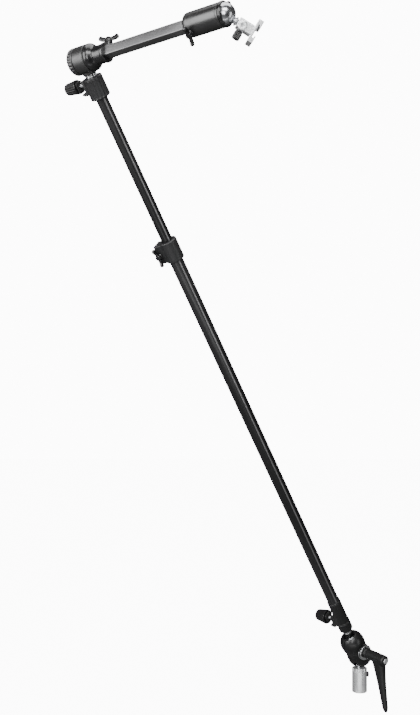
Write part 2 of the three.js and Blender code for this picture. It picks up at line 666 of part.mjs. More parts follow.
// Clip frame: its X runs along the screw, away from the gap, and its origin is on the pole's axis
function clipTurned(body, clip, turn) {
  return body.rotate([0, 0, turn]).translate([0, 0, clip.height]);
}

function jawScrewHole(clip) {
  const deep = -clip.fixedFace + clip.padThickness + seatGap + clip.screwDepth;
  return rodX(clip.screwRadius + seatGap, -clip.fixedFace - cutOverrun, Math.min(deep, 0));
}

function bottomCapBody() {
  const { start, end, radius, flaredRadius, fluteLength, edge } = bottomCap;
  const flutes = flutedShape(flaredRadius, bottomCap.fluteDepth, fluteCount, 2);
  const grip = raised(flutes, start + edge, start + fluteLength);
  const collarEnd = start + fluteLength + 2 * edge;
  let body = turnedZ([
    [0, start], [flaredRadius - 2 * edge, start], [flaredRadius - bottomCap.fluteDepth, start + 1.5 * edge],
    [flaredRadius - bottomCap.fluteDepth, start + fluteLength - edge], [flaredRadius, start + fluteLength],
    [flaredRadius, collarEnd], [radius, collarEnd + edge], [radius, end - edge],
    [radius - edge, end], [0, end],
  ]).add(grip).add(clipTurned(fixedJaw(bottomClip), bottomClip, bottomClipTurn));
  const shankTop = studShankStart + poleStud.shankLength + 2 * seatGap;
  body = body.subtract(rodZ(poleStud.shankRadius + seatGap, start - cutOverrun, shankTop));
  body = body.subtract(clipTurned(jawScrewHole(bottomClip), bottomClip, bottomClipTurn));
  const tubeHole = rodZ(
    outerTube.radius + seatGap, outerTube.start - seatGap, end + cutOverrun, 0, facets.round,
  );
  return body.subtract(tubeHole);
}

// Round tube with a shallow groove along one side
function groovedTube({ radius, wallThickness, start, end, grooveWidth, grooveDepth }) {
  const half = Math.asin(grooveWidth / 2 / radius);
  const centre = radians(grooveAngle);
  const shape = new THREE.Shape();
  const steps = facets.round;
  for (let i = 0; i <= steps; i += 1) {
    const angle = centre + half + ((2 * Math.PI - 2 * half) * i) / steps;
    const [x, y] = [radius * Math.cos(angle), radius * Math.sin(angle)];
    if (i === 0) shape.moveTo(x, y);
    else shape.lineTo(x, y);
  }
  const floor = radius - grooveDepth;
  const side = Math.asin(grooveWidth / 2 / floor);
  shape.lineTo(floor * Math.cos(centre - side), floor * Math.sin(centre - side));
  shape.lineTo(floor * Math.cos(centre + side), floor * Math.sin(centre + side));
  shape.closePath();
  const hole = new THREE.Path();
  hole.absarc(0, 0, radius - wallThickness, 0, 2 * Math.PI, true);
  shape.holes.push(hole);
  return raised(shape, start, end, facets.round / 2);
}
piece(poleFrame, 'outer_tube', groovedTube(outerTube), 'anodised');
piece(poleFrame, 'bottom_cap', bottomCapBody(), 'gloss');

// Rubber pad of a jaw, with the hole that the screw passes through
function jawPad(clip, start) {
  const { jawWidth, jawAbove, jawBelow, padThickness, padInset, clawHeight, screwRadius } = clip;
  const pad = block(
    [start, -jawWidth / 2 + padInset, -jawBelow + clawHeight + 2 * padInset],
    [start + padThickness, jawWidth / 2 - padInset, jawAbove - padInset],
  );
  return pad.subtract(rodX(screwRadius + 2 * seatGap, start - cutOverrun, start + padThickness + cutOverrun));
}

// Moving jaw: a plate with rounded upper corners and a thicker lower edge
function movingJaw(clip) {
  const { jawWidth, jawAbove, jawBelow, jawThickness, fixedFace, gap } = clip;
  const { padThickness, clawHeight, padInset } = clip;
  const face = -fixedFace - gap - padThickness - seatGap;
  const back = -fixedFace - gap - padThickness - jawThickness;
  const foot = -jawBelow + clawHeight + padInset;
  const outline = roundedRectangle(
    jawWidth, jawAbove - foot + padInset, jawWidth / 4, 0, (jawAbove + foot - padInset) / 2,
  );
  const lip = block(
    [back, -jawWidth / 2 + padInset, foot - padInset / 2],
    [face + padThickness, jawWidth / 2 - padInset, foot + padInset / 2],
  );
  const hole = rodX(clip.screwRadius + seatGap, back - cutOverrun, face + cutOverrun);
  return raisedX(outline, back, face, 4).add(lip).subtract(hole);
}

function knobSeatOf(clip) {
  return -clip.fixedFace - clip.gap - clip.jawThickness - clip.padThickness - seatGap;
}

// Ribbed knob: a neck, then a cone with ribs along it and a rounded end
function clipKnob(clip) {
  const { knobLength, knobInnerRadius, knobOuterRadius, knobRibDepth, knobEdge, knobNeckRadius } = clip;
  const knobSeat = knobSeatOf(clip);
  const neckEnd = knobSeat - clip.knobNeckLength;
  const end = neckEnd - knobLength;
  const steps = 2;
  const around = knobRibCount * steps;
  const stationShares = [0, 0.03, 0.12, 0.9, 0.96, 1];
  const sizeShares = [0.9, 1, 1, 1, 0.94, 0.8];
  const ribShares = [0, 0.6, 1, 1, 0.5, 0];
  const vertices = [];
  const faces = [];
  stationShares.forEach((share, j) => {
    const x = neckEnd - knobLength * share;
    const radius = THREE.MathUtils.lerp(knobInnerRadius, knobOuterRadius, share) * sizeShares[j];
    for (let i = 0; i < around; i += 1) {
      const angle = (2 * Math.PI * i) / around;
      const dip = knobRibDepth * ribShares[j] * (i % steps === 0 ? 1 : 0);
      vertices.push(x, (radius - dip) * Math.cos(angle), (radius - dip) * Math.sin(angle));
    }
  });
  const rows = stationShares.length;
  for (let j = 0; j < rows - 1; j += 1) {
    for (let i = 0; i < around; i += 1) {
      const [a, b] = [j * around + i, j * around + ((i + 1) % around)];
      faces.push(a, a + around, b, b, a + around, b + around);
    }
  }
  const [first, last] = [vertices.length / 3, vertices.length / 3 + 1];
  vertices.push(neckEnd, 0, 0, end - knobEdge / 2, 0, 0);
  for (let i = 0; i < around; i += 1) {
    const next = (i + 1) % around;
    faces.push(first, i, next);
    faces.push(last, (rows - 1) * around + next, (rows - 1) * around + i);
  }
  const geometry = new THREE.BufferGeometry();
  geometry.setAttribute('position', new THREE.Float32BufferAttribute(vertices, 3));
  geometry.setIndex(faces);
  const body = solid(geometry).add(rodX(knobNeckRadius, neckEnd - knobEdge, knobSeat));
  const holeEnd = end + knobLength / 2 - seatGap;
  return body.subtract(rodX(clip.screwRadius + seatGap, holeEnd, knobSeat + cutOverrun));
}

function clipScrew(clip) {
  const tip = -clip.fixedFace + clip.padThickness + clip.screwDepth / 3;
  const start = knobSeatOf(clip) - clip.knobNeckLength - clip.knobLength / 2;
  return rodX(clip.screwRadius, start, tip, 2 * seatGap);
}

// One clip: pads, moving jaw, screw and knob about a cap's fixed jaw
function reflectorClip(prefix, clip, turn) {
  const frame = frameAt(poleFrame, [0, 0, clip.height], turnAbout(unitZ, turn));
  const face = -clip.fixedFace - clip.gap;
  piece(frame, `${prefix}_clip_fixed_pad`, jawPad(clip, -clip.fixedFace), 'rubber');
  piece(frame, `${prefix}_clip_jaw`, movingJaw(clip), 'nylon');
  piece(frame, `${prefix}_clip_moving_pad`, jawPad(clip, face - clip.padThickness), 'rubber');
  piece(frame, `${prefix}_clip_screw`, clipScrew(clip), 'zinc');
  piece(frame, `${prefix}_clip_knob`, clipKnob(clip), 'satin');
}
reflectorClip('bottom', bottomClip, bottomClipTurn);

// Collar: wraps the end of the outer tube and the inner tube above it, pinched by a winged screw
// through two lugs
function collarBody() {
  const { start, end, radius, lugReach, lugFront, lugBack, lugTaper, slit, edge } = collar;
  const ring = turnedZ([
    [0, start], [radius - edge, start], [radius, start + edge], [radius, end - edge], [radius - edge, end],
    [0, end],
  ]);
  const lugShape = new THREE.Shape();
  lugShape.moveTo(0, -lugBack);
  lugShape.lineTo(lugReach - lugTaper, -lugBack);
  lugShape.lineTo(lugReach, -lugBack + lugTaper);
  lugShape.lineTo(lugReach, lugFront - lugTaper);
  lugShape.lineTo(lugReach - lugTaper, lugFront);
  lugShape.lineTo(0, lugFront);
  lugShape.closePath();
  let body = ring.add(raised(lugShape, start + 2 * edge, end - 2 * edge));
  const bore = (radius, top) => rodZ(radius + seatGap, start - cutOverrun, top, 0, facets.round);
  body = body.subtract(bore(innerTube.radius, end + cutOverrun));
  body = body.subtract(bore(outerTube.radius, outerTube.end + seatGap));
  const cut = block([0, -slit / 2, start - cutOverrun], [lugReach + cutOverrun, slit / 2, end + cutOverrun]);
  const hole = rodZ(wing.stemRadius + seatGap, -2 * lugFront, 2 * lugFront, 0, facets.tiny)
    .rotate([90, 0, 0])
    .translate([collar.screwReach, 0, collar.screwHeight]);
  const nutRoom = collar.nutAcross + 2 * edge;
  const spot = raised(roundedRectangle(nutRoom, nutRoom, edge), lugBack, radius + cutOverrun, 2)
    .rotate([90, 0, 0])
    .translate([collar.screwReach, 0, collar.screwHeight]);
  return body.subtract(cut).subtract(hole).subtract(spot);
}
const collarFrame = frameAt(poleFrame, [0, 0, 0], turnAbout(unitZ, collarLugAngle));
piece(collarFrame, 'pole_collar', collarBody(), 'nylon');

// Winged screw: hub, two ears and a stem. Z runs out of the work, with its seat at zero.
function wingScrew(stemLength) {
  const { hubRadius, hubLength, baseRadius, baseLength, span, earRadius, earHeight, thickness, bevel } = wing;
  const outline = new THREE.Shape();
  const earX = span - earRadius;
  outline.moveTo(-hubRadius * 0.6, baseLength);
  outline.lineTo(hubRadius * 0.6, baseLength);
  outline.bezierCurveTo(
    hubRadius, baseLength, earX, baseLength * 0.8, span - bevel, earHeight - earRadius * 0.4,
  );
  outline.bezierCurveTo(
    span + bevel, earHeight + earRadius * 0.5, earX + bevel, earHeight + earRadius,
    earX - bevel, earHeight + earRadius * 0.6,
  );
  outline.bezierCurveTo(
    earX - earRadius * 0.6, earHeight + bevel, hubRadius * 0.8, hubLength, 0, hubLength - wing.waist * 0.3,
  );
  outline.bezierCurveTo(
    -hubRadius * 0.8, hubLength, -earX + earRadius * 0.6, earHeight + bevel,
    -earX + bevel, earHeight + earRadius * 0.6,
  );
  outline.bezierCurveTo(
    -earX - bevel, earHeight + earRadius, -span - bevel, earHeight + earRadius * 0.5,
    -span + bevel, earHeight - earRadius * 0.4,
  );
  outline.bezierCurveTo(
    -earX, baseLength * 0.8, -hubRadius, baseLength, -hubRadius * 0.6, baseLength,
  );
  const geometry = new THREE.ExtrudeGeometry(outline, {
    depth: thickness - 2 * bevel, bevelEnabled: true, bevelThickness: bevel, bevelSize: bevel / 2,
    bevelOffset: -bevel / 2, bevelSegments: 1, curveSegments: 3,
  });
  const ears = solid(geometry.translate(0, 0, -thickness / 2 + bevel).rotateX(Math.PI / 2));
  const hub = turnedZ([
    [0, seatGap], [baseRadius, seatGap], [baseRadius, baseLength], [hubRadius, baseLength + bevel],
    [hubRadius - bevel, hubLength], [0, hubLength],
  ], facets.small);
  return hub.add(ears).add(rodZ(wing.stemRadius, -stemLength, baseLength, 0, facets.tiny));
}

const collarWingTwist = 98;
const collarScrewFrame = frameAt(
  collarFrame, [collar.screwReach, collar.lugFront, collar.screwHeight],
  turnAbout(unitX, -90).multiply(turnAbout(unitZ, collarWingTwist)),
);
const collarStemLength = collar.lugFront + collar.lugBack + seatGap + collar.nutThickness;
piece(collarScrewFrame, 'collar_wing_screw', wingScrew(collarStemLength), 'gloss');
const collarNutFrame = frameAt(
  collarFrame, [collar.screwReach, -collar.lugBack - seatGap, collar.screwHeight],
  turnAbout(unitX, 90),
);
function squareNut() {
  const { nutAcross, nutThickness, edge } = collar;
  return raised(roundedRectangle(nutAcross, nutAcross, edge), 0, nutThickness, 2)
    .subtract(rodZ(wing.stemRadius + seatGap, -cutOverrun, nutThickness + cutOverrun, 0, facets.tiny));
}
piece(collarNutFrame, 'collar_nut', squareNut(), 'zinc');

// Inner tube, its guide bush and the cap on its upper end
piece(poleFrame, 'inner_tube', groovedTube(innerTube), 'anodised');
function guideBush() {
  const bore = outerTube.radius - outerTube.wallThickness;
  const seat = innerTube.start - seatGap;
  const plugRadius = innerTube.radius - innerTube.wallThickness - seatGap;
  return turnedZ([
    [0, seat - bush.length], [bore - bush.clearance - seatGap, seat - bush.length],
    [bore - bush.clearance, seat - bush.length + seatGap], [bore - bush.clearance, seat],
    [plugRadius, seat], [plugRadius, seat + bush.spigotLength], [0, seat + bush.spigotLength],
  ]);
}
piece(poleFrame, 'inner_tube_bush', guideBush(), 'nylon');

function topCapBody() {
  const { start, end, radius, edge } = topCap;
  const grip = raised(flutedShape(radius, topCap.fluteDepth, topFluteCount, 2), start + edge, end - edge);
  const core = turnedZ([
    [0, start], [radius - topCap.fluteDepth - edge, start], [radius - topCap.fluteDepth, start + edge],
    [radius - topCap.fluteDepth, end - edge], [radius - topCap.fluteDepth - edge, end], [0, end],
  ]);
  let body = core.add(grip).add(clipTurned(fixedJaw(topClip), topClip, 0));
  body = body.subtract(clipTurned(jawScrewHole(topClip), topClip, 0));
  const tubeHole = rodZ(
    innerTube.radius + seatGap, start - cutOverrun, innerTube.end + seatGap, 0, facets.round,
  );
  body = body.subtract(tubeHole);
  return body.subtract(rodZ(topStud.radius + seatGap, end - topStud.belowCapTop - seatGap, end + cutOverrun));
}
piece(poleFrame, 'top_cap', topCapBody(), 'nylon');
reflectorClip('top', topClip, 0);

// Stud between the pole and the elbow, inside a spacing washer
const drumBoreTop = drumFoot + topStud.intoDrum;
piece(
  poleFrame, 'top_stud',
  rodZ(topStud.radius, topCap.end - topStud.belowCapTop, drumBoreTop - seatGap, 2 * seatGap), 'chrome',
);
piece(
  poleFrame, 'stud_washer',
  turnedZ([
    [topStud.radius + seatGap, topCap.end + seatGap], [topStud.washerRadius, topCap.end + seatGap],
    [topStud.washerRadius, drumFoot - seatGap], [topStud.radius + seatGap, drumFoot - seatGap],
  ]),
  'chrome',
);

// Elbow drum: turned about the arm's axis, with a foot for the stud
function elbowDrum() {
  const { drumRadius, knobStart, drumEnd, edge, footRadius, footDrop } = elbow;
  const start = knobStart + seatGap;
  const foot = rodZ(footRadius, -footDrop, 0, edge, facets.small);
  return rodX(drumRadius, start, drumEnd, edge, facets.fine)
    .add(foot.intersect(rodX(drumRadius * 2, start, drumEnd)))
    .subtract(rodX(elbowBolt.radius + seatGap, start - cutOverrun, drumEnd + cutOverrun))
    .subtract(rodZ(topStud.radius + seatGap, -footDrop - cutOverrun, drumBoreTop - elbow.height));
}
piece(elbowFrame, 'elbow_drum', elbowDrum(), 'satin');

function elbowKnob() {
  const { drumRadius, knobStart, knobEnd, knobDome, ribDepth, ribLength, edge } = elbow;
  const grip = raisedX(
    flutedShape(drumRadius, ribDepth, elbowRibCount, 2), knobEnd, knobEnd + ribLength,
  );
  const body = turnedX([
    [0, knobEnd - knobDome], [drumRadius * 0.35, knobEnd - knobDome * 0.95],
    [drumRadius * 0.7, knobEnd - knobDome * 0.68], [drumRadius * 0.9, knobEnd - knobDome * 0.35],
    [drumRadius - ribDepth, knobEnd], [drumRadius - ribDepth, knobEnd + ribLength],
    [drumRadius, knobEnd + ribLength + edge], [drumRadius, knobStart - edge],
    [drumRadius - edge, knobStart], [0, knobStart],
  ], facets.fine).add(grip);
  return body.subtract(rodX(elbowBolt.radius + seatGap, knobEnd + edge, knobStart + cutOverrun));
}
piece(elbowFrame, 'elbow_knob', elbowKnob(), 'satin');

piece(
  elbowFrame, 'roll_friction_disc',
  turnedX([
    [elbowBolt.radius + seatGap, discSeat], [elbow.discRadius, discSeat],
    [elbow.discRadius, discSeat + elbow.discThickness],
    [elbowBolt.radius + seatGap, discSeat + elbow.discThickness],
  ], facets.fine),
  'nylon',
);

// Arm sleeve: a domed shoulder, a neck with a lip, a square socket and a lug for the winged screw
function armSleeve() {
  const { neckRadius, neckEnd, lipLength, lipRadius, lipGroove, tubeStop, lugRadius, shoulderEnd } = sleeve;
  const { drumRadius, edge } = elbow;
  const shoulder = new THREE.CubicBezierCurve(
    new THREE.Vector2(drumRadius, sleeveSeat + edge),
    new THREE.Vector2(drumRadius, shoulderEnd - neckRadius * 0.35),
    new THREE.Vector2(neckRadius, shoulderEnd - neckRadius * 0.35),
    new THREE.Vector2(neckRadius, shoulderEnd),
  ).getPoints(facets.arc).map((point) => [point.x, point.y]);
  const lipStart = neckEnd - lipLength;
  let body = turnedX([
    [0, sleeveSeat], [drumRadius - edge, sleeveSeat], ...shoulder,
    [neckRadius, lipStart - lipGroove], [neckRadius - lipGroove / 2, lipStart - lipGroove],
    [neckRadius - lipGroove / 2, lipStart], [lipRadius, lipStart], [lipRadius, neckEnd - edge / 2],
    [lipRadius - edge / 2, neckEnd], [0, neckEnd],
  ], facets.fine);
  const lug = rodZ(lugRadius, 0, sleeve.lugReach, edge).translate([sleeve.lugPlace, 0, 0]);
  const turned = turnAbout(unitX, sleeveScrewAngle - 90 - armRoll);
  const lean = new THREE.Euler().setFromQuaternion(turned);
  body = body.add(lug.rotate([THREE.MathUtils.radToDeg(lean.x), 0, 0]));
  const opening = armTube.side + 2 * squareFit;
  const square = raisedX(roundedRectangle(opening, opening, armTube.corner), tubeStop, neckEnd + neckRadius);
  const hole = rodZ(wing.stemRadius + seatGap, 0, sleeve.lugReach + cutOverrun)
    .translate([sleeve.lugPlace, 0, 0])
    .rotate([THREE.MathUtils.radToDeg(lean.x), 0, 0]);
  return body.subtract(square).subtract(hole)
    .subtract(rodX(elbowBolt.radius + seatGap, sleeveSeat - cutOverrun, sleeveSeat + elbowBolt.inSleeve));
}
piece(armFrame, 'arm_sleeve', armSleeve(), 'gloss');
const boltStart = elbow.knobEnd + elbow.edge + seatGap;
const boltEnd = sleeveSeat + elbowBolt.inSleeve - seatGap;
piece(elbowFrame, 'elbow_bolt', rodX(elbowBolt.radius, boltStart, boltEnd, 2 * seatGap), 'zinc');

// Square arm tube
function squareTube() {
  const { side, corner, wallThickness, start, end } = armTube;
  const shape = roundedRectangle(side, side, corner);
  const inner = side - 2 * wallThickness;
  shape.holes.push(roundedRectangle(inner, inner, Math.max(corner - wallThickness, wallThickness / 3)));
  return raisedX(shape, start, end, 3);
}
piece(armFrame, 'arm_tube', squareTube(), 'silverTube');

// Frame whose Z runs out square to the arm, at an angle round it from the elbow frame's Y towards its Z
function acrossArm(place, degrees, reach, twist) {
  const turn = turnAbout(unitX, degrees - 90).multiply(turnAbout(unitZ, twist));
  const out = [place, reach * Math.cos(radians(degrees)), reach * Math.sin(radians(degrees))];
  return frameAt(elbowFrame, out, turn);
}
const tubeReach = armTube.side / 2 + seatGap;
const sleeveWingTwist = 12;
const sleeveWingFrame = acrossArm(sleeve.lugPlace, sleeveScrewAngle, sleeve.lugReach, sleeveWingTwist);
piece(sleeveWingFrame, 'sleeve_wing_screw', wingScrew(sleeve.lugReach - tubeReach), 'gloss');

// Ball head housing: a round shell with a square socket at one end and the ball at the other
function headHousing() {
  const { start, end, radius, startRadius, shoulderLength, tubeStop, boreStart, boreRadius } = head;
  const shoulder = new THREE.QuadraticBezierCurve(
    new THREE.Vector2(startRadius, start),
    new THREE.Vector2(radius, start),
    new THREE.Vector2(radius, start + shoulderLength),
  ).getPoints(facets.arc / 2).map((point) => [point.x, point.y]);
  let body = turnedX([
    [0, start], ...shoulder, [radius, end - seatGap], [radius - seatGap, end], [0, end],
  ], facets.fine);
  const opening = armTube.side + 2 * squareFit;
  const square = raisedX(roundedRectangle(opening, opening, armTube.corner), start - cutOverrun, tubeStop)
    .rotate([armRoll, 0, 0]);
  body = body.subtract(square).subtract(rodX(boreRadius, boreStart, end + cutOverrun, 0, facets.round));
  for (const [place, angle] of [[housingScrew.place, housingScrew.angle], [ballLock.place, ballLock.angle]]) {
    const hole = rodZ(wing.stemRadius + seatGap, 0, radius + cutOverrun).rotate([angle - 90, 0, 0]);
    body = body.subtract(hole.translate([place, 0, 0]));
  }
  return body;
}
piece(elbowFrame, 'head_housing', headHousing(), 'gloss');

// Retaining ring: holds the ball from just past its middle
function headRing() {
  const { end, ringLength, ringRadius, ringEdge, ballPlace, ballRadius, boreClearance } = head;
  const start = end + seatGap;
  const ring = rodX(ringRadius, start, start + ringLength, ringEdge, facets.fine);
  const ball = solid(new THREE.SphereGeometry(ballRadius + boreClearance, facets.fine, facets.fine / 2)
    .rotateZ(Math.PI / 2).translate(ballPlace, 0, 0));
  const back = rodX(ballRadius + boreClearance, start - cutOverrun, ballPlace, 0, facets.fine);
  return ring.subtract(ball).subtract(back);
}
piece(elbowFrame, 'head_ring', headRing(), 'gloss');

// Seat: a cup behind the ball
function ballSeat() {
  const { ballPlace, ballRadius, boreClearance, seatRadius, seatLength } = head;
  const seatStart = ballPlace - ballRadius - boreClearance - seatLength / 3;
  const cup = rodX(seatRadius, seatStart, seatStart + seatLength, seatGap, facets.round);
  const ball = solid(new THREE.SphereGeometry(ballRadius + boreClearance, facets.fine, facets.fine / 2)
    .rotateZ(Math.PI / 2).translate(ballPlace, 0, 0));
  return cup.subtract(ball);
}
piece(elbowFrame, 'ball_seat', ballSeat(), 'nylon');

const housingWingTwist = 82;
const ballLockTwist = 6;
const offFlat = radians(180 + armRoll - housingScrew.angle);
const cornerRise = wing.stemRadius * Math.sin(offFlat);
const housingTipReach = (armTube.side / 2 + cornerRise) / Math.cos(offFlat) + seatGap;
const housingWingFrame = acrossArm(housingScrew.place, housingScrew.angle, head.radius, housingWingTwist);
piece(housingWingFrame, 'housing_wing_screw', wingScrew(head.radius - housingTipReach), 'gloss');
const ballLockFrame = acrossArm(ballLock.place, ballLock.angle, head.radius, ballLockTwist);
piece(ballLockFrame, 'ball_lock_wing_screw', wingScrew(head.radius - head.seatRadius - seatGap), 'gloss');

// Ball with its stud: neck, collar and a plain tail that enters the shoe block
function headBall() {
  const ball = solid(new THREE.SphereGeometry(head.ballRadius, facets.fine, facets.fine / 2)
    .rotateX(Math.PI / 2));
  const { neckRadius, collarRadius, collarStart, collarLength, tailRadius } = headStud;
  const stud = turnedZ([
    [0, 0], [neckRadius, 0], [neckRadius, collarStart], [collarRadius, collarStart + seatGap],
    [collarRadius, collarStart + collarLength - seatGap], [neckRadius, collarStart + collarLength],
    [neckRadius, shoe.blockStart - seatGap], [tailRadius, shoe.blockStart],
    [tailRadius, shoe.blockStart + shoe.tailDepth - seatGap], [0, shoe.blockStart + shoe.tailDepth - seatGap],
  ]);
  return ball.add(stud);
}
piece(studFrame, 'head_ball', headBall(), 'chrome');

const thumbSeat = shoe.eyeOffset + shoe.eyeRadius + seatGap;
// Shoe block: bored for the stud, with an eye on its front and a thumb screw from the side
function shoeBlock() {
  const { blockStart, blockEnd, blockWidth, blockDepth, blockCorner, tailDepth } = shoe;
  const { eyeRadius, eyeProud, eyeHoleRadius, eyeHoleDepth, eyePlace, eyeOffset } = shoe;
  let body = raised(roundedRectangle(blockWidth, blockDepth, blockCorner), blockStart, blockEnd);
  const front = blockDepth / 2 + eyeProud;
  const eye = solid(new THREE.CylinderGeometry(eyeRadius, eyeRadius, front, facets.small)
    .translate(-eyeOffset, front / 2, eyePlace));
  const eyeHole = solid(new THREE.CylinderGeometry(
    eyeHoleRadius, eyeHoleRadius, eyeHoleDepth + cutOverrun, facets.tiny,
  ).translate(-eyeOffset, front - eyeHoleDepth / 2 + cutOverrun / 2, eyePlace));
  body = body.add(eye).subtract(eyeHole);
  body = body.add(rodX(thumb.radius - thumb.edge, -thumbSeat + seatGap, 0).translate([0, 0, thumb.place]));
  body = body.subtract(rodZ(headStud.tailRadius + seatGap, blockStart - cutOverrun, blockStart + tailDepth));
  return body.subtract(rodX(thumb.screwRadius + seatGap, -blockWidth, 0, 0, facets.tiny)
    .translate([0, 0, thumb.place]));
}
piece(studFrame, 'shoe_block', shoeBlock(), 'chrome');

// Shoe plate: a base with two undercut rails and a stop at the far end
function shoePlate() {
  const { blockEnd, plateWidth, plateLength, plateThickness, plateCorner, slotWidth, railHeight } = shoe;
  const base = blockEnd + seatGap;
  const floor = base + plateThickness;
  const top = floor + railHeight + shoe.lipThickness;
  let body = raised(roundedRectangle(plateWidth, plateLength, plateCorner), base, top, 3);
  const half = plateLength / 2;
  const lipGap = slotWidth / 2 - shoe.lipReach;
  body = body.subtract(block(
    [-slotWidth / 2, -half + shoe.stopThickness, floor],
    [slotWidth / 2, half + cutOverrun, floor + railHeight],
  ));
  return body.subtract(block(
    [-lipGap, -half - cutOverrun, floor], [lipGap, half + cutOverrun, top + cutOverrun],
  ));
}
piece(studFrame, 'shoe_plate', shoePlate(), 'chrome');

// Thumb screw: a knurled head along -X with its screw in the block
function thumbScrew() {
  const { radius, length, gripStart, ribDepth, screwRadius, edge } = thumb;
  const seat = thumbSeat;
  const grip = raisedX(flutedShape(radius, ribDepth, thumbRibCount, 2), seat + gripStart, seat + length - edge);
  const body = turnedX([
    [0, headStud.tailRadius + seatGap], [screwRadius, headStud.tailRadius + seatGap], [screwRadius, seat],
    [radius - edge, seat], [radius - edge, seat + gripStart], [radius - ribDepth, seat + gripStart],
    [radius - ribDepth, seat + length - edge], [radius - ribDepth - edge, seat + length], [0, seat + length],
  ], facets.small);
  return body.add(grip).rotate([0, 0, 180]).translate([0, 0, thumb.place]);
}
piece(studFrame, 'shoe_thumb_screw', thumbScrew(), 'gloss');

export default part;
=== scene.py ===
"""Looks of a reflector holder arm: a stand socket with a lever-locked double ball joint, a telescopic
pole with a screw clip near each end, and an elbow with a square arm and a ball head for a shoe.

Shapes are worked out in millimetres on numpy grids and written to meshes in metres. Every place
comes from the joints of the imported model, so that each piece sits on the solid that it dresses.
"""

import json
import logging
import math
from collections.abc import Callable, Sequence
from dataclasses import dataclass
from enum import Enum

import bpy
import numpy as np
from mathutils import Matrix, Vector


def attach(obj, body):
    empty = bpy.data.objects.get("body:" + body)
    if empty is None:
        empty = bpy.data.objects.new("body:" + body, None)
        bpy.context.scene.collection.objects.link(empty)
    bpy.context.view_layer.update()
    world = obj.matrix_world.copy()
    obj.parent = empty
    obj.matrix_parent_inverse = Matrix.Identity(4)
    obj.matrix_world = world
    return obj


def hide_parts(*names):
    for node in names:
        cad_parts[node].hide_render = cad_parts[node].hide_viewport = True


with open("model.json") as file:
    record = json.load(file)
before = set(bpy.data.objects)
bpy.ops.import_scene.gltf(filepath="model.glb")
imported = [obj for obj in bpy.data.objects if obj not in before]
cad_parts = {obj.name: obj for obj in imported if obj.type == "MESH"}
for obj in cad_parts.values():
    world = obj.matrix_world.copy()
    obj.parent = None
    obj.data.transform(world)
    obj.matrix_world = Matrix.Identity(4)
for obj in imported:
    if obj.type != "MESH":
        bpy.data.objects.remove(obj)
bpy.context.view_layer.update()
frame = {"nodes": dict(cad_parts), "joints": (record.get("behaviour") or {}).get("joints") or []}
log = logging.getLogger("reflector_arm")

# A millimetre in metres, the least length that counts, and the room between neighbouring pieces
MM = 0.001
TINY = 1e-6
GAP = 0.3
FULL_TURN = 2 * math.pi

Colour = tuple[float, float, float]
Point = Sequence[float]
Socket = bpy.types.NodeSocket
Relief = Callable[[np.ndarray, np.ndarray, np.ndarray], np.ndarray]


class Body(Enum):
    """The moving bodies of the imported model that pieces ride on."""

    STAND = "stand"
    SET_SCREW = "set_screw"
    LOWER_BALL = "lower_ball_body"
    LOWER_LINER = "lower_liner_body"
    HOUSING = "clamp_housing"
    LEVER = "lever"
    RELEASE = "lever_release"
    UPPER_LINER = "upper_liner_body"
    UPPER_BALL = "upper_ball_body"
    POLE = "pole"
    BOTTOM_JAW = "bottom_jaw"
    BOTTOM_KNOB = "bottom_knob"
    COLLAR_WING = "collar_wing"
    EXTENSION = "pole_extension"
    TOP_JAW = "top_jaw"
    TOP_KNOB = "top_knob"
    ELBOW = "elbow"
    ELBOW_KNOB = "elbow_clamp_knob"
    SLEEVE = "sleeve"
    SLEEVE_WING = "sleeve_wing"
    ARM = "arm"
    HEAD = "head"
    HEAD_WING = "head_wing"
    BALL_LOCK = "ball_lock"
    HEAD_BALL = "head_ball_body"
    SHOE = "shoe"
    SHOE_SCREW = "shoe_screw"


class Clip(Enum):
    """The two reflector clips, by the word in their nodes' names."""

    BOTTOM = "bottom"
    TOP = "top"


# Places


@dataclass(frozen=True)
class Place:
    """A right-handed place: an origin in millimetres and its x, y and z axes as rows."""

    origin: np.ndarray
    axes: np.ndarray

    def put(self, points: np.ndarray) -> np.ndarray:
        """Returns points of this place in the row frame: the origin plus each coordinate times its axis."""
        return self.origin + points @ self.axes

    def moved(self, x: float = 0, y: float = 0, z: float = 0) -> "Place":
        """Returns the place carried along its own axes by millimetres."""
        return Place(self.put(np.array([x, y, z], float)), self.axes)

    def turned(self, axis: int, degrees: float) -> "Place":
        """Returns the place turned about its own x, y or z axis (0, 1 or 2) by right-handed degrees."""
        spin = np.array(Matrix.Rotation(math.radians(degrees), 3, "XYZ"[axis]))
        return Place(self.origin, spin.T @ self.axes)

    def along(self, axis: int) -> "Place":
        """Returns the place with its z axis where the given axis was, keeping it right-handed."""
        order = {0: (1, 2, 0), 1: (2, 0, 1), 2: (0, 1, 2)}[axis]
        return Place(self.origin, self.axes[list(order)])


HERE = Place(np.zeros(3), np.eye(3))


def joint_of(name: str) -> dict:
    """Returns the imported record's joint of that name."""
    return next(j for j in frame["joints"] if j["name"] == name)


def axis_of(name: str) -> np.ndarray:
    """Returns a joint's axis as a unit vector."""
    axis = np.array(joint_of(name)["axis"], float)
    return axis / np.linalg.norm(axis)


def pivot_of(name: str) -> np.ndarray:
    """Returns a joint's point in millimetres."""
    return np.array(joint_of(name)["pos_m"], float) / MM


def place_on(origin: np.ndarray, z: np.ndarray, x: np.ndarray) -> Place:
    """Makes a place from its z axis and a direction close to its x axis.

    Args:
        origin: The place's origin, in millimetres.
        z: Its z axis, one long.
        x: The direction, made square to z by taking away its share of z.

    Returns:
        The place.
    """
    x = x - (x @ z) * z
    x = x / np.linalg.norm(x)
    return Place(origin, np.stack([x, np.cross(z, x), z]))


# Surfaces


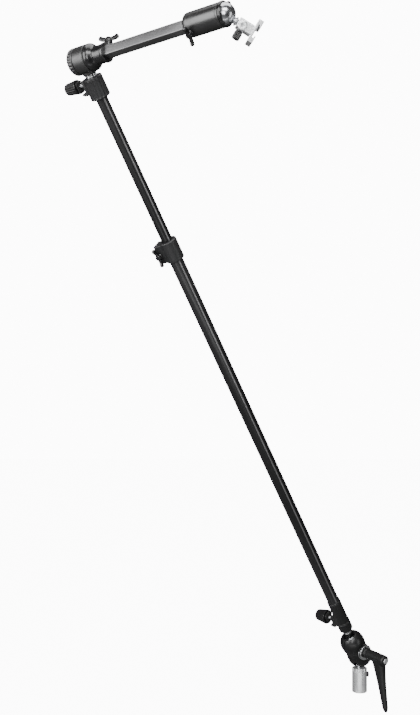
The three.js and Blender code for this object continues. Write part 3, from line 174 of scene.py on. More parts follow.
@dataclass
class Skin:
    """A closed surface in millimetres: its points and its faces, each face a list of point numbers."""

    points: np.ndarray
    faces: list

    def put(self, place: Place) -> "Skin":
        """Returns the surface carried from a place's own coordinates into the row frame."""
        return Skin(place.put(self.points), self.faces)

    def moved(self, x: float = 0, y: float = 0, z: float = 0) -> "Skin":
        """Returns the surface shifted by millimetres."""
        return Skin(self.points + np.array([x, y, z], float), self.faces)

    def swapped(self, axis: int) -> "Skin":
        """Returns the surface with its z direction laid along the given axis, still facing out."""
        order = {0: (2, 0, 1), 1: (1, 2, 0), 2: (0, 1, 2)}[axis]
        return Skin(self.points[:, order], self.faces)

    def mirrored(self, axis: int) -> "Skin":
        """Returns the surface mirrored along the given axis, still facing out."""
        sign = np.where(np.arange(3) == axis, -1, 1)
        return Skin(self.points * sign, [face[::-1] for face in self.faces])

    def laid(self) -> "Skin":
        """Returns the surface with its y and z exchanged, still facing out."""
        return Skin(self.points[:, [0, 2, 1]], [face[::-1] for face in self.faces])


def woven(rows: np.ndarray, ring: bool = False, first: bool = False, last: bool = False) -> Skin:
    """Joins a grid of points into quads, the columns going once round.

    Row i and row i + 1 are joined by one quad for each column. A row closes on the next one, and an
    end is closed by a fan to the mean of its row, or the last row closes on the first one.

    Args:
        rows: Points of shape (rows, columns, 3), counter-clockwise seen from the last row's side.
        ring: Whether the last row joins the first.
        first: Whether a fan closes the first row.
        last: Whether a fan closes the last row.

    Returns:
        The surface.
    """
    count, around = rows.shape[:2]
    index = np.arange(count * around).reshape(count, around)
    low, high = (index, np.roll(index, -1, axis=0)) if ring else (index[:-1], index[1:])
    quads = np.stack([low, np.roll(low, -1, 1), np.roll(high, -1, 1), high], axis=-1).reshape(-1, 4)
    points = rows.reshape(-1, 3)
    faces = quads.tolist()
    for wanted, row, order in ((first, index[0], (1, 0)), (last, index[-1], (0, 1))):
        if not wanted:
            continue
        middle = np.full(around, len(points))
        points = np.vstack([points, points[row].mean(axis=0)])
        pair = (row, np.roll(row, -1))
        faces += np.stack([pair[order[0]], pair[order[1]], middle], axis=-1).tolist()
    return Skin(points, faces)


def rounded(corners: Sequence[Sequence[float]], ring: bool = False, steps: int = 4) -> np.ndarray:
    """Rounds the corners of a polyline.

    A corner with a third number r is replaced by a curve from r before it to r after it, the square
    blend (1 - t)^2 a + 2 t (1 - t) c + t^2 b of its two tangent points and itself. r is held to just
    under half of the shorter side.

    Args:
        corners: Points (x, y) or (x, y, r).
        ring: Whether the line closes.
        steps: Stretches in each rounded corner.

    Returns:
        Points of shape (n, 2).
    """
    flat = np.array([c[:2] for c in corners], float)
    reach = np.array([c[2] if len(c) > 2 else 0.0 for c in corners])
    before, after = np.roll(flat, 1, 0) - flat, np.roll(flat, -1, 0) - flat
    share = np.linspace(0, 1, steps + 1)[:, None]
    line = []
    for k, corner in enumerate(flat):
        if reach[k] <= 0 or (not ring and k in (0, len(flat) - 1)):
            line.append(corner[None])
            continue
        sides = [before[k], after[k]]
        lengths = [np.linalg.norm(s) for s in sides]
        r = min(reach[k], 0.49 * min(lengths))
        a, b = (corner + s * r / n for s, n in zip(sides, lengths, strict=True))
        line.append((1 - share) ** 2 * a + 2 * share * (1 - share) * corner + share**2 * b)
    return np.vstack(line)


def dense(line: np.ndarray, step: float, ring: bool = False) -> np.ndarray:
    """Cuts the long stretches of a polyline into equal parts.

    Args:
        line: Points of shape (n, 2).
        step: Length that no part goes over.
        ring: Whether the line closes.

    Returns:
        The points, with the new ones between them.
    """
    ends = np.roll(line, -1, 0) if ring else np.vstack([line[1:], line[-1:]])
    pieces = []
    for a, b in zip(line, ends, strict=True):
        parts = max(1, math.ceil(np.linalg.norm(b - a) / step))
        pieces.append(a + (b - a) * (np.arange(parts) / parts)[:, None])
    return np.vstack(pieces)


def lathe(profile: np.ndarray, around: int = 96, relief: Relief | None = None) -> Skin:
    """Turns a profile of (radius, height) points about z: x = r cos t, y = r sin t.

    The profile runs up the outside. One that starts and ends on the axis gets a pole at each end, and
    any other closes on itself, as a ring does.

    Args:
        profile: Points of shape (n, 2).
        around: Columns in a full turn.
        relief: Takes angle, radius and height as arrays, and returns the new radius.

    Returns:
        The surface.
    """
    poled = profile[0, 0] < TINY and profile[-1, 0] < TINY
    body = profile[1:-1] if poled else profile
    angle = np.linspace(0, FULL_TURN, around, endpoint=False)[None, :]
    radius, height = (np.broadcast_to(body[:, k : k + 1], (len(body), around)) for k in (0, 1))
    if relief:
        radius = relief(angle, radius, height)
    rows = np.stack([radius * np.cos(angle), radius * np.sin(angle), height + 0 * angle], axis=-1)
    skin = woven(rows, ring=not poled, first=poled, last=poled)
    if poled:
        skin.points[-2, 2], skin.points[-1, 2] = profile[0, 1], profile[-1, 1]
    return skin


def rod(radius: float, low: float, high: float, edge: float = 0.3, around: int = 64) -> Skin:
    """A plain turned rod along z with rounded rims."""
    return lathe(rounded([(0, low), (radius, low, edge), (radius, high, edge), (0, high)]), around)


def inset(outline: np.ndarray, depth: float) -> np.ndarray:
    """Moves each point of a closed outline inwards by depth, square to the chord of its two neighbours."""
    normal = (np.roll(outline, -1, 0) - np.roll(outline, 1, 0))[:, ::-1] * np.array([1, -1])
    return outline - depth * normal / np.maximum(np.linalg.norm(normal, axis=1, keepdims=True), TINY)


def prism(outline: np.ndarray, low: float, high: float, edge: float = 0.4, steps: int = 3) -> Skin:
    """Carries a closed outline up z and rounds both rims by a quarter circle.

    At an angle f the rim is inset by edge (1 - sin f) and stands edge (1 - cos f) off its end. The
    flat ends are one face each.

    Args:
        outline: Points of shape (n, 2), counter-clockwise.
        low: Height of the lower end.
        high: Height of the upper end.
        edge: Radius of the rims.
        steps: Stretches in each quarter circle.

    Returns:
        The surface.
    """
    quarter = np.linspace(0, math.pi / 2, steps + 1)
    drawn, lift = 1 - np.sin(quarter), edge * (1 - np.cos(quarter))
    shrink = np.concatenate([drawn, drawn[::-1]]) * edge
    height = np.concatenate([low + lift, (high - lift)[::-1]])
    rows = np.stack([
        np.column_stack([inset(outline, s), np.full(len(outline), h)])
        for s, h in zip(shrink, height, strict=True)
    ])
    skin = woven(rows)
    around = len(outline)
    top = len(rows) * around
    skin.faces += [list(range(around - 1, -1, -1)), list(range(top - around, top))]
    return skin


def tube(outline: np.ndarray, hole: np.ndarray, low: float, high: float, stations: int = 2) -> Skin:
    """Makes a hollow bar along z, open at both ends.

    Args:
        outline: Points of the outside, of shape (n, 2), carried up z.
        hole: As many points of the inside, carried down z.
        low: Height of the lower end.
        high: Height of the upper end.
        stations: Rows along each wall.

    Returns:
        The surface.
    """
    heights = np.linspace(low, high, stations)
    rows = [np.column_stack([outline, np.full(len(outline), h)]) for h in heights]
    rows += [np.column_stack([hole, np.full(len(hole), h)]) for h in heights[::-1]]
    return woven(np.stack(rows), ring=True)


def rectangle(
    width: float, height: float, corner: float, x: float = 0, y: float = 0, steps: int = 5
) -> np.ndarray:
    """Points of a rectangle with round corners, counter-clockwise.

    Args:
        width: Its size along x.
        height: Its size along y.
        corner: Radius of its corners.
        x: Middle along x.
        y: Middle along y.
        steps: Steps of a corner.

    Returns:
        The points.
    """
    signs = ((-1, -1), (1, -1), (1, 1), (-1, 1))
    corners = [(x + i * width / 2, y + j * height / 2, corner) for i, j in signs]
    return rounded(corners, ring=True, steps=steps)


def bezier(a: Point, b: Point, c: Point, d: Point, steps: int = 12) -> np.ndarray:
    """Points of a cubic curve from a to d with handles b and c, without its last point."""
    t = np.linspace(0, 1, steps, endpoint=False)[:, None]
    return (1 - t) ** 3 * a + 3 * (1 - t) ** 2 * t * b + 3 * (1 - t) * t**2 * c + t**3 * d


def arc(radius: float, centre: float, start: float, stop: float, steps: int = 24) -> np.ndarray:
    """Profile points on a circle about the axis, with angles in degrees measured from -z."""
    angle = np.radians(np.linspace(start, stop, steps + 1))
    return np.column_stack([radius * np.sin(angle), centre - radius * np.cos(angle)])


# Reliefs on turned pieces


def gate(height: np.ndarray, low: float, high: float, fade: float) -> np.ndarray:
    """Rises from 0 to 1 over fade above low and falls before high, as the smooth step s^2 (3 - 2 s)."""
    share = np.clip(np.minimum(height - low, high - height) / fade, 0, 1)
    return share * share * (3 - 2 * share)


def triangle(turns: np.ndarray) -> np.ndarray:
    """Falls from 1 at whole turns to 0 half way between them, along straight lines."""
    return np.abs((turns % 1) - 0.5) * 2


def ribs(count: int, depth: float, low: float, high: float, fade: float = 0.6, power: float = 1.0) -> Relief:
    """Relief of grooves along the axis: depth times |cos(count t / 2)| to twice a power, from low to high."""
    return lambda t, r, h: r - depth * np.abs(np.cos(t * count / 2)) ** (2 * power) * gate(h, low, high, fade)


def knurl(count: int, pitch: float, depth: float, low: float, high: float) -> Relief:
    """Relief of crossed grooves: the deeper of two triangle waves that wind both ways, from low to high."""

    def crossed(turns: np.ndarray, climb: np.ndarray) -> np.ndarray:
        """Returns the share of the depth, from how far each wave has turned and climbed."""
        return np.clip(np.maximum(triangle(turns - climb), triangle(turns + climb)) * 3 - 2, 0, 1)

    return lambda t, r, h: r - depth * crossed(t * count / FULL_TURN, h / pitch) * gate(h, low, high, 0.4)


def thread(pitch: float, depth: float, low: float, high: float) -> Relief:
    """Relief of a screw thread: a triangle wave of height over pitch less the turned share."""
    return lambda t, r, h: (
        r - depth * triangle(h / pitch - t / FULL_TURN) * gate(h, low, high, pitch) * (r > depth)
    )


def hexagon(across: float, low: float, high: float, limit: float) -> Relief:
    """Relief that makes a hexagon of the radii under limit, between two heights.

    A point's share of half of the width across goes to the same share of the wall, which stands at
    half of the width over the cosine of the angle off each flat's middle.

    Args:
        across: Width across the flats.
        low: Height of one end.
        high: Height of the other end.
        limit: Radius under which points belong to the hexagon.

    Returns:
        The relief.
    """

    def shape(angle: np.ndarray, radius: np.ndarray, height: np.ndarray) -> np.ndarray:
        """Puts the inner radii on the hexagon.

        Args:
            angle: Angle of each point.
            radius: Its radius.
            height: Its height.

        Returns:
            Its new radius.
        """
        wall = across / 2 / np.cos((angle % (math.pi / 3)) - math.pi / 6)
        inside = (radius < limit) & (radius > TINY) & (height >= low - TINY) & (height <= high + TINY)
        return np.where(inside, wall * radius / (across / 2), radius)

    return shape


# Finishes


class Grain(Enum):
    """How a finish breaks up its surface."""

    BRUSHED = "brushed"
    TURNED = "turned"
    PEEL = "peel"
    POWDER = "powder"
    MOULDED = "moulded"
    RUBBER = "rubber"


# How far a grain with a direction is drawn out along the axes of its place
DRAWN_OUT = {Grain.BRUSHED: (1, 1, 90), Grain.TURNED: (26, 26, 0.6)}
PEBBLED = (Grain.MOULDED, Grain.RUBBER, Grain.POWDER)


@dataclass(frozen=True)
class Graph:
    """A node tree, and the steps that the finishes and the studio are made of."""

    tree: bpy.types.NodeTree

    def fill(self, node: bpy.types.Node, inputs: dict) -> bpy.types.Node:
        """Fills inputs of a node.

        Args:
            node: The node.
            inputs: For each input's name or number, a socket to link or a value to set.

        Returns:
            The same node.
        """
        for key, value in inputs.items():
            if isinstance(value, Socket):
                self.tree.links.new(value, node.inputs[key])
            else:
                node.inputs[key].default_value = value
        return node

    def node(self, kind: str, inputs: dict) -> bpy.types.Node:
        """Adds a shader node of a kind and fills its inputs."""
        return self.fill(self.tree.nodes.new(f"ShaderNode{kind}"), inputs)

    def coordinates(self) -> Socket:
        """Adds the object's own coordinates."""
        return self.node("TexCoord", {}).outputs["Object"]

    def noise(self, place: Socket, size: float, detail: float) -> Socket:
        """Adds a noise with features of a size in millimetres."""
        made = self.node("TexNoise", {"Vector": place, "Scale": 1 / (size * MM), "Detail": detail})
        return made.outputs["Fac"]

    def maths(self, operation: str, *values: Socket | float) -> Socket:
        """Adds a sum of numbers.

        Args:
            operation: What the sum does.
            values: Its numbers, in their order.

        Returns:
            The result.
        """
        made = self.node("Math", {})
        made.operation = operation
        return self.fill(made, dict(enumerate(values))).outputs[0]

    def spanned(self, value: Socket, low: float, high: float, start: float, stop: float) -> Socket:
        """Adds a map of a value from low..high to start..stop, held inside it."""
        return self.node("MapRange", dict(enumerate((value, low, high, start, stop)))).outputs[0]

    def mixed(self, share: Socket, a: Socket | Colour, b: Colour) -> Socket:
        """Adds a mix of two colours.

        Args:
            share: How much of the second one is in it.
            a: The first one, or a socket that gives it.
            b: The second one.

        Returns:
            The mixed colour.
        """
        made = self.node("Mix", {})
        made.data_type = "RGBA"
        first = a if isinstance(a, Socket) else (*a, 1)
        return self.fill(made, {0: share, 6: first, 7: (*b, 1)}).outputs[2]

    def seen_share(self, low: float, high: float) -> Socket:
        """Adds a value that is low for light on the object and high where the room itself is seen."""
        return self.spanned(self.node("LightPath", {}).outputs["Is Camera Ray"], 0, 1, low, high)


@dataclass(frozen=True)
class Finish:
    """A surface finish, made as a node material on object coordinates.

    Attributes:
        name: The material's name.
        slot: The record's material slot; not used.
        color: Base colour, linear.
        metallic: Metalness of the shader.
        roughness: Mean roughness.
        grain: How the surface is broken up.
        spread: How far the roughness wanders each way.
        size: Size of the grain in millimetres.
        depth: Depth of the grain in millimetres.
        coat: Weight of a clear coat.
        shade: Share by which the colour wanders.
        worn: Colour of rubbed edges.
        wear: Share of the worn colour on sharp edges.
        specular: Strength of the gloss of what isn't metal.
        patch: Size in millimetres of the patches in which colour and roughness wander.
        coat_roughness: Roughness of the clear coat.
    """

    name: str
    slot: str
    color: Colour
    metallic: float
    roughness: float
    grain: Grain
    spread: float = 0.06
    size: float = 0.6
    depth: float = 0.01
    coat: float = 0.0
    shade: float = 0.15
    worn: Colour = (0.3, 0.3, 0.3)
    wear: float = 0.0
    specular: float = 0.5
    patch: float = 38.0
    coat_roughness: float = 0.12

    def material(self, along: Place | None = None) -> bpy.types.Material:
        """Builds the material, or finds the one that the same direction already has.

        Args:
            along: Place whose z axis the brushed or turned lines follow or go round.

        Returns:
            The material.
        """
        key = self.name
        if along is not None:
            key = "_".join([key, *(str(round(99 * v)) for v in along.axes[2])])
        found = bpy.data.materials.get(key)
        if found:
            return found
        made = bpy.data.materials.new(key)
        made.use_nodes = True
        graph = Graph(made.node_tree)
        fine = graph.noise(self._grain_place(graph, along), self.size, 3.0)
        broad = graph.noise(graph.coordinates(), self.patch, 4.0)
        graph.fill(made.node_tree.nodes["Principled BSDF"], {
            "Metallic": self.metallic,
            "Specular IOR Level": self.specular,
            "Coat Weight": self.coat,
            "Coat Roughness": self.coat_roughness,
            "Base Color": self._colour(graph, fine, broad),
            "Roughness": self._gloss(graph, fine, broad),
            "Normal": self._bump(graph, fine),
        })
        return made

    def _grain_place(self, graph: Graph, along: Place | None) -> Socket:
        """Adds the coordinates of the grain.

        Args:
            graph: The material's nodes.
            along: Place that they are turned and drawn out for, if the grain has a direction.

        Returns:
            The coordinates.
        """
        coordinates = graph.coordinates()
        if along is None:
            return coordinates
        mapping = graph.node("Mapping", {})
        mapping.vector_type = "TEXTURE"
        graph.fill(mapping, {
            "Vector": coordinates,
            "Location": tuple(along.origin * MM),
            "Rotation": tuple(Matrix(along.axes.tolist()).transposed().to_euler()),
            "Scale": DRAWN_OUT.get(self.grain, (1, 1, 1)),
        })
        return mapping.outputs["Vector"]

    def _colour(self, graph: Graph, fine: Socket, broad: Socket) -> Socket:
        """Lets the colour wander, and rubs the sharp edges to the worn colour.

        Args:
            graph: The material's nodes.
            fine: The noise of the grain, which breaks up the rubbed edges.
            broad: The noise of the patches, which the colour follows.

        Returns:
            The colour.
        """
        dark = tuple(c * (1 - self.shade) for c in self.color)
        light = tuple(min(1.0, c * (1 + self.shade)) for c in self.color)
        colour = graph.mixed(graph.spanned(broad, 0.3, 0.7, 0, 1), dark, light)
        if not self.wear:
            return colour
        edge = graph.spanned(graph.node("NewGeometry", {}).outputs["Pointiness"], 0.52, 0.6, 0, self.wear)
        rubbed = graph.maths("MULTIPLY", edge, graph.spanned(fine, 0.42, 0.6, 0.25, 1))
        return graph.mixed(rubbed, colour, self.worn)

    def _gloss(self, graph: Graph, fine: Socket, broad: Socket) -> Socket:
        """Lets the roughness wander with both noises."""
        low, high = max(0.03, self.roughness - self.spread), min(1.0, self.roughness + self.spread)
        return graph.spanned(graph.maths("ADD", fine, broad), 0.7, 1.3, low, high)

    def _bump(self, graph: Graph, fine: Socket) -> Socket:
        """Raises the grain, with pebbles added to it on moulded, powdered and rubber skins.

        Args:
            graph: The material's nodes.
            fine: The noise of the grain.

        Returns:
            The bumped normal.
        """
        height = fine
        if self.grain in PEBBLED:
            cells = graph.node("TexVoronoi", {"Vector": graph.coordinates(), "Scale": 0.7 / (self.size * MM)})
            height = graph.maths("MULTIPLY_ADD", cells.outputs["Distance"], 0.6, fine)
        bump = graph.node("Bump", {"Strength": 1.0, "Distance": self.depth * MM, "Height": height})
        return bump.outputs["Normal"]


CHROME = Finish(
    "bright_chrome", "chrome", (0.78, 0.79, 0.80), 1.0, 0.16, Grain.TURNED, 0.05, 0.5, 0.004, shade=0.05)
SATIN_CHROME = Finish(
    "satin_chrome", "chrome", (0.86, 0.87, 0.88), 0.80, 0.31, Grain.TURNED, 0.07, 0.4, 0.005, shade=0.06)
ZINC = Finish(
    "bright_zinc", "zinc", (0.62, 0.63, 0.65), 1.0, 0.30, Grain.TURNED, 0.08, 0.5, 0.006, shade=0.08)
STEEL = Finish(
    "ground_steel", "steel", (0.55, 0.56, 0.58), 1.0, 0.20, Grain.TURNED, 0.05, 0.4, 0.004, shade=0.06)
BALL = Finish(
    "polished_ball", "ball_alloy", (0.50, 0.51, 0.53), 1.0, 0.21, Grain.TURNED, 0.05, 0.5, 0.003, shade=0.05)
ENAMEL = Finish(
    "black_enamel", "gloss_black", (0.006, 0.006, 0.0065), 0.0, 0.26, Grain.PEEL, 0.05, 1.6, 0.03,
    coat=0.35, shade=0.2, worn=(0.16, 0.16, 0.165), wear=0.25)
CAST = Finish(
    "black_casting", "gloss_black", (0.006, 0.006, 0.0065), 0.0, 0.37, Grain.PEEL, 0.08, 0.9, 0.05,
    coat=0.12, shade=0.25, worn=(0.2, 0.2, 0.205), wear=0.35)
ANODISED = Finish(
    "black_anodised", "anodised_black", (0.008, 0.008, 0.0085), 0.25, 0.30, Grain.BRUSHED, 0.06, 0.35, 0.004,
    coat=0.15, shade=0.12, worn=(0.25, 0.25, 0.26), wear=0.15)
# Painted highlight: a lighter metal for the strip on the channels' floors, standing in for the line of
# reflected light along the grooves.
GROOVE_HIGHLIGHT = Finish(
    "groove_floor", "anodised_black", (0.24, 0.24, 0.245), 0.7, 0.3, Grain.BRUSHED, 0.06, 0.35, 0.004)
HEAD_COAT = Finish(
    "head_coat", "gloss_black", (0.007, 0.007, 0.0075), 0.0, 0.36, Grain.PEEL, 0.06, 1.0, 0.02,
    shade=0.2, worn=(0.16, 0.16, 0.165), wear=0.25, specular=1.0)
DRUM_COAT = Finish(
    "drum_coat", "satin_black", (0.012, 0.012, 0.0125), 0.0, 0.42, Grain.POWDER, 0.08, 0.35, 0.02,
    shade=0.1, worn=(0.2, 0.2, 0.2), wear=0.2, specular=1.0)
LEVER_COAT = Finish(
    "lever_coat", "satin_black", (0.007, 0.007, 0.0075), 0.0, 0.40, Grain.POWDER, 0.08, 0.5, 0.03,
    shade=0.15, worn=(0.22, 0.22, 0.22), wear=0.3)
ARM_METAL = Finish(
    "arm_anodised", "arm_aluminium", (0.15, 0.15, 0.154), 0.88, 0.42, Grain.BRUSHED, 0.08, 0.3, 0.006,
    shade=0.08, worn=(0.6, 0.6, 0.6), wear=0.4)
NYLON = Finish(
    "moulded_nylon", "nylon_black", (0.018, 0.018, 0.019), 0.0, 0.44, Grain.MOULDED, 0.08, 0.5, 0.02,
    shade=0.15, worn=(0.08, 0.08, 0.08), wear=0.4)
PLASTIC = Finish(
    "moulded_plastic", "plastic_black", (0.012, 0.012, 0.0125), 0.0, 0.34, Grain.MOULDED, 0.08, 0.6, 0.015,
    shade=0.15, worn=(0.07, 0.07, 0.07), wear=0.4)
RUBBER = Finish(
    "clip_rubber", "rubber", (0.014, 0.014, 0.014), 0.0, 0.78, Grain.RUBBER, 0.08, 0.4, 0.03, shade=0.2)


# Pieces


def mesh_object(name: str, skin: Skin, unit: float = 1.0) -> bpy.types.Object:
    """Makes an object with a surface's mesh and links it to the scene.

    Args:
        name: Name of the object and of its mesh.
        skin: The surface, in millimetres.
        unit: Length of a millimetre in the mesh.

    Returns:
        The object.
    """
    mesh = bpy.data.meshes.new(name)
    mesh.from_pydata((skin.points * unit).tolist(), [], skin.faces)
    made = bpy.data.objects.new(name, mesh)
    bpy.context.scene.collection.objects.link(made)
    return made


def add_piece(
    name: str,
    skin: Skin,
    finish: Finish,
    body: Body,
    stands_for: Sequence[str] = (),
    along: Place | None = None,
    crease: float = 38,
) -> None:
    """Makes a finished piece from a surface in the row frame.

    Args:
        name: Name of the piece.
        skin: Its surface, in millimetres in the row frame.
        finish: Its finish.
        body: The body that it rides on.
        stands_for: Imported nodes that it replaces.
        along: Place that gives the grain its direction.
        crease: Angle in degrees past which an edge stays sharp.
    """
    piece = mesh_object(name, skin, MM)
    mesh = piece.data
    mesh.validate()
    mesh.shade_smooth()
    mesh.set_sharp_from_angle(angle=math.radians(crease))
    mesh.materials.append(finish.material(along))
    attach(piece, body.value)
    if stands_for:
        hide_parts(*stands_for)
    log.info("%s: %d faces on %s", name, len(skin.faces), body.value)


def dress_node(name: str, finish: Finish) -> None:
    """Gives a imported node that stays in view, or inside the assembly, its finish.

    Args:
        name: The node.
        finish: Its finish.
    """
    node = frame["nodes"][name]
    node.data.materials.clear()
    node.data.materials.append(finish.material())


def carved(
    start: Skin, joins: Sequence[Skin] = (), cuts: Sequence[Skin] = (), voxel: float = 0, relax: int = 4
) -> Skin:
    """Joins and cuts closed surfaces, then softens the edges as a casting's are.

    With a voxel size, the result is remeshed on a grid of that size, and each point is moved relax
    times half of the way to the mean of its neighbours.

    Args:
        start: The first surface.
        joins: Surfaces to add.
        cuts: Surfaces to take away.
        voxel: Grid size in millimetres, or 0 to keep the exact edges.
        relax: Smoothing rounds.

    Returns:
        The surface.
    """
    base = mesh_object("scratch_base", start)
    tools = []
    for operation, skins in (("UNION", joins), ("DIFFERENCE", cuts)):
        for skin in skins:
            tool = mesh_object("scratch_tool", skin)
            step = base.modifiers.new("cut", "BOOLEAN")
            step.operation, step.solver, step.object = operation, "MANIFOLD", tool
            tools.append(tool)
    if voxel:
        remesh = base.modifiers.new("voxels", "REMESH")
        remesh.mode, remesh.voxel_size, remesh.adaptivity = "VOXEL", voxel, 0
        soften = base.modifiers.new("soften", "SMOOTH")
        soften.factor, soften.iterations = 0.5, relax
    shown = base.evaluated_get(bpy.context.evaluated_depsgraph_get())
    mesh = shown.to_mesh()
    points = np.empty(len(mesh.vertices) * 3)
    mesh.vertices.foreach_get("co", points)
    faces = [list(p.vertices) for p in mesh.polygons]
    shown.to_mesh_clear()
    for item in (base, *tools):
        data = item.data
        bpy.data.objects.remove(item)
        bpy.data.meshes.remove(data)
    return Skin(points.reshape(-1, 3), faces)


def box(low: Point, high: Point) -> Skin:
    """A plain cutting box: each corner takes the low or the high value of each axis."""
    points = np.array([[(low, high)[k >> axis & 1][axis] for axis in range(3)] for k in range(8)], float)
    return Skin(points, [[0, 2, 3, 1], [4, 5, 7, 6], [0, 1, 5, 4], [2, 6, 7, 3], [0, 4, 6, 2], [1, 3, 7, 5]])


# Places of the sub-assemblies


@dataclass(frozen=True)
class Layout:
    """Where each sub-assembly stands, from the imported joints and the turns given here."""

    lever_swing: float = -33.7
    arm_roll: float = 45.0
    collar_turn: float = 182.0
    collar_twist: float = 98.0

    @property
    def stand(self) -> Place:
        """The socket's mouth, z up the bore."""
        return HERE

    @property
    def joint(self) -> Place:
        """The lower ball's centre: x along the lever's axis, z to the upper ball."""
        return place_on(pivot_of("lower_roll"), axis_of("lower_roll"), axis_of("lever_turn"))

    @property
    def bolt(self) -> Place:
        """Half way between the balls, with the joint's axes."""
        return Place(pivot_of("lever_turn"), self.joint.axes)

    @property
    def lever(self) -> Place:
        """The bolt's place swung to where the lever hangs, so that its arm runs along -z."""
        return self.bolt.turned(0, self.lever_swing)

    @property
    def pole(self) -> Place:
        """The upper ball's centre: z up the pole, x along the arm."""
        return place_on(pivot_of("pole_spin"), axis_of("pole_spin"), axis_of("elbow_knob_turn"))

    @property
    def elbow(self) -> Place:
        """The elbow's centre: x along the arm, z up the pole."""
        return Place(pivot_of("elbow_knob_turn"), self.pole.axes)

    @property
    def arm(self) -> Place:
        """The elbow's place rolled about the arm, as the square tube stands."""
        return self.elbow.turned(0, self.arm_roll)

    @property
    def stud(self) -> Place:
        """The head ball's centre: z up the stud, x away from the thumb screw."""
        return place_on(pivot_of("shoe_turn"), axis_of("shoe_turn"), -axis_of("shoe_screw_turn"))

    def clip(self, which: Clip) -> Place:
        """On the pole's axis beside a clip: x runs from its knob to the pole."""
        turn = f"{which.value}_knob_turn"
        return place_on(pivot_of(turn), self.pole.axes[2], axis_of(turn))

    @property
    def collar(self) -> Place:
        """The pole's place turned so that x runs through the collar's lugs."""
        return self.pole.turned(2, self.collar_turn)

    @property
    def collar_screw(self) -> Place:
        """The collar's winged screw: z out of the lugs, ears along x."""
        ears = self.collar.turned(0, -90).turned(2, self.collar_twist).axes[0]
        return place_on(pivot_of("collar_wing_turn"), axis_of("collar_wing_turn"), ears)

    def across(self, name: str, angle: float, twist: float) -> Place:
        """Returns a screw's place, z out of the arm at an angle from y to z, ears along x after a twist."""
        return Place(pivot_of(name), self.elbow.turned(0, angle - 90).turned(2, twist).axes)


# Stand socket, stem and set screw


@dataclass
class StandSocket:
    """The chromed receiver for a light stand's spigot, with a scalloped crown and a side screw."""

    place: Place
    radius: float = 14.5
    length: float = 47.0
    bore: float = 8.15
    bore_depth: float = 40.0
    crown: float = 6.0
    groove: float = 1.2
    groove_depth: float = 0.7
    scallops: int = 12
    scallop_radius: float = 2.1
    scallop_out: float = 0.9
    pin: float = 4.0
    neck: float = 4.7
    neck_top: float = 58.8
    spigot: float = 3.0
    spigot_top: float = 76.0
    screw_height: float = 34.0
    screw_head: float = 5.2
    screw_shank: float = 2.5
    key: float = 4.0

    def scalloped(self, angle: np.ndarray, radius: np.ndarray, height: np.ndarray) -> np.ndarray:
        """Cuts the crown by round flutes: the wall falls to where a circle outside it reaches in.

        Args:
            angle: Angle of each point.
            radius: Its radius.
            height: Its height.

        Returns:
            Its new radius.
        """
        pitch = FULL_TURN / self.scallops
        off = (angle / pitch + 0.5) % 1 * pitch - pitch / 2
        centre = self.radius + self.scallop_out
        side = centre * np.abs(np.sin(off))
        reach = centre * np.cos(off) - np.sqrt(np.maximum(self.scallop_radius**2 - side**2, 0))
        cut = (side < self.scallop_radius) & (height > self.length - self.crown) & (radius > self.bore)
        return np.where(cut, np.minimum(radius, reach), radius)

    def socket(self) -> Skin:
        """Returns the receiver: bore, mouth chamfers, turned waist lines, groove and crown."""
        r, top = self.radius, self.length
        base = top - self.crown
        line = rounded([
            (0, self.bore_depth), (self.bore, self.bore_depth, 0.4), (self.bore, 1.0, 0.3),
            (self.bore + 1.0, 0, 0.2), (r - 1.1, 0, 0.4), (r, 1.1, 0.5), (r, 4.4, 0.15),
            (r - 0.25, 4.6, 0.1), (r - 0.25, 5.2, 0.1), (r, 5.4, 0.15), (r, base - self.groove, 0.15),
            (r - self.groove_depth, base - self.groove, 0.2), (r - self.groove_depth, base, 0.2),
            (r, base + 0.05, 0.15), (r, top - 0.8, 0.4), (r - 0.9, top, 0.4), (self.neck + 1.6, top, 0.3),
            (self.neck + 0.8, top - 0.5, 0.2), (0, top - 0.5),
        ])
        return lathe(dense(line, 1.5), 360, self.scalloped)

    def stem(self) -> Skin:
        """Returns the stem between the socket and the lower ball, with a relief at each end."""
        low, high, n = self.length + GAP, self.neck_top, self.neck
        line = rounded([
            (0, self.length - 6), (self.pin, self.length - 6, 0.4), (self.pin, low - 0.6),
            (n + 1.1, low - 0.6, 0.2), (n + 1.1, low + 0.9, 0.5), (n - 0.2, low + 1.6, 0.6),
            (n, low + 4, 1.5), (n, high - 1.5, 0.8), (n - 0.5, high, 0.3), (self.spigot, high, 0.1),
            (self.spigot, self.spigot_top), (0, self.spigot_top),
        ])
        return lathe(dense(line, 1.5), 72)

    def set_screw(self) -> Skin:
        """Returns the socket-headed screw along x, with a hexagonal recess and a rolled rim."""
        seat = self.radius + GAP
        top, head = seat + 3.2, self.screw_head
        line = rounded([
            (0, self.bore + 0.35), (self.screw_shank, self.bore + 0.35, 0.4), (self.screw_shank, seat),
            (head, seat, 0.3), (head, top - 1.1, 0.5), (head - 1.0, top, 0.5),
            (self.key / 2 + 0.4, top, 0.2), (self.key / 2, top - 0.4, 0.1), (self.key / 2, top - 2.0),
            (0, top - 2.0),
        ])
        recess = hexagon(self.key, top - 2.0, top - 0.3, self.key / 2 + 0.05)
        ridged = ribs(30, 0.25, seat + 0.5, top - 0.8, 0.3)
        return lathe(
            dense(line, 0.5), 120, lambda t, r, h: recess(t, np.where(r > 4, ridged(t, r, h), r), h)
        ).swapped(0)

    def build(self) -> None:
        """Adds the socket, the stem and the set screw."""
        at, side = self.place, self.place.moved(z=self.screw_height)
        add_piece("socket_body", self.socket().put(at), SATIN_CHROME, Body.STAND, ["stand_socket"], at)
        add_piece("stem_shank", self.stem().put(at), STEEL, Body.STAND, ["ball_stem"], at)
        screw = self.set_screw().put(side)
        add_piece("set_screw_body", screw, ENAMEL, Body.SET_SCREW, ["socket_set_screw"], side.along(0))


# Double ball joint


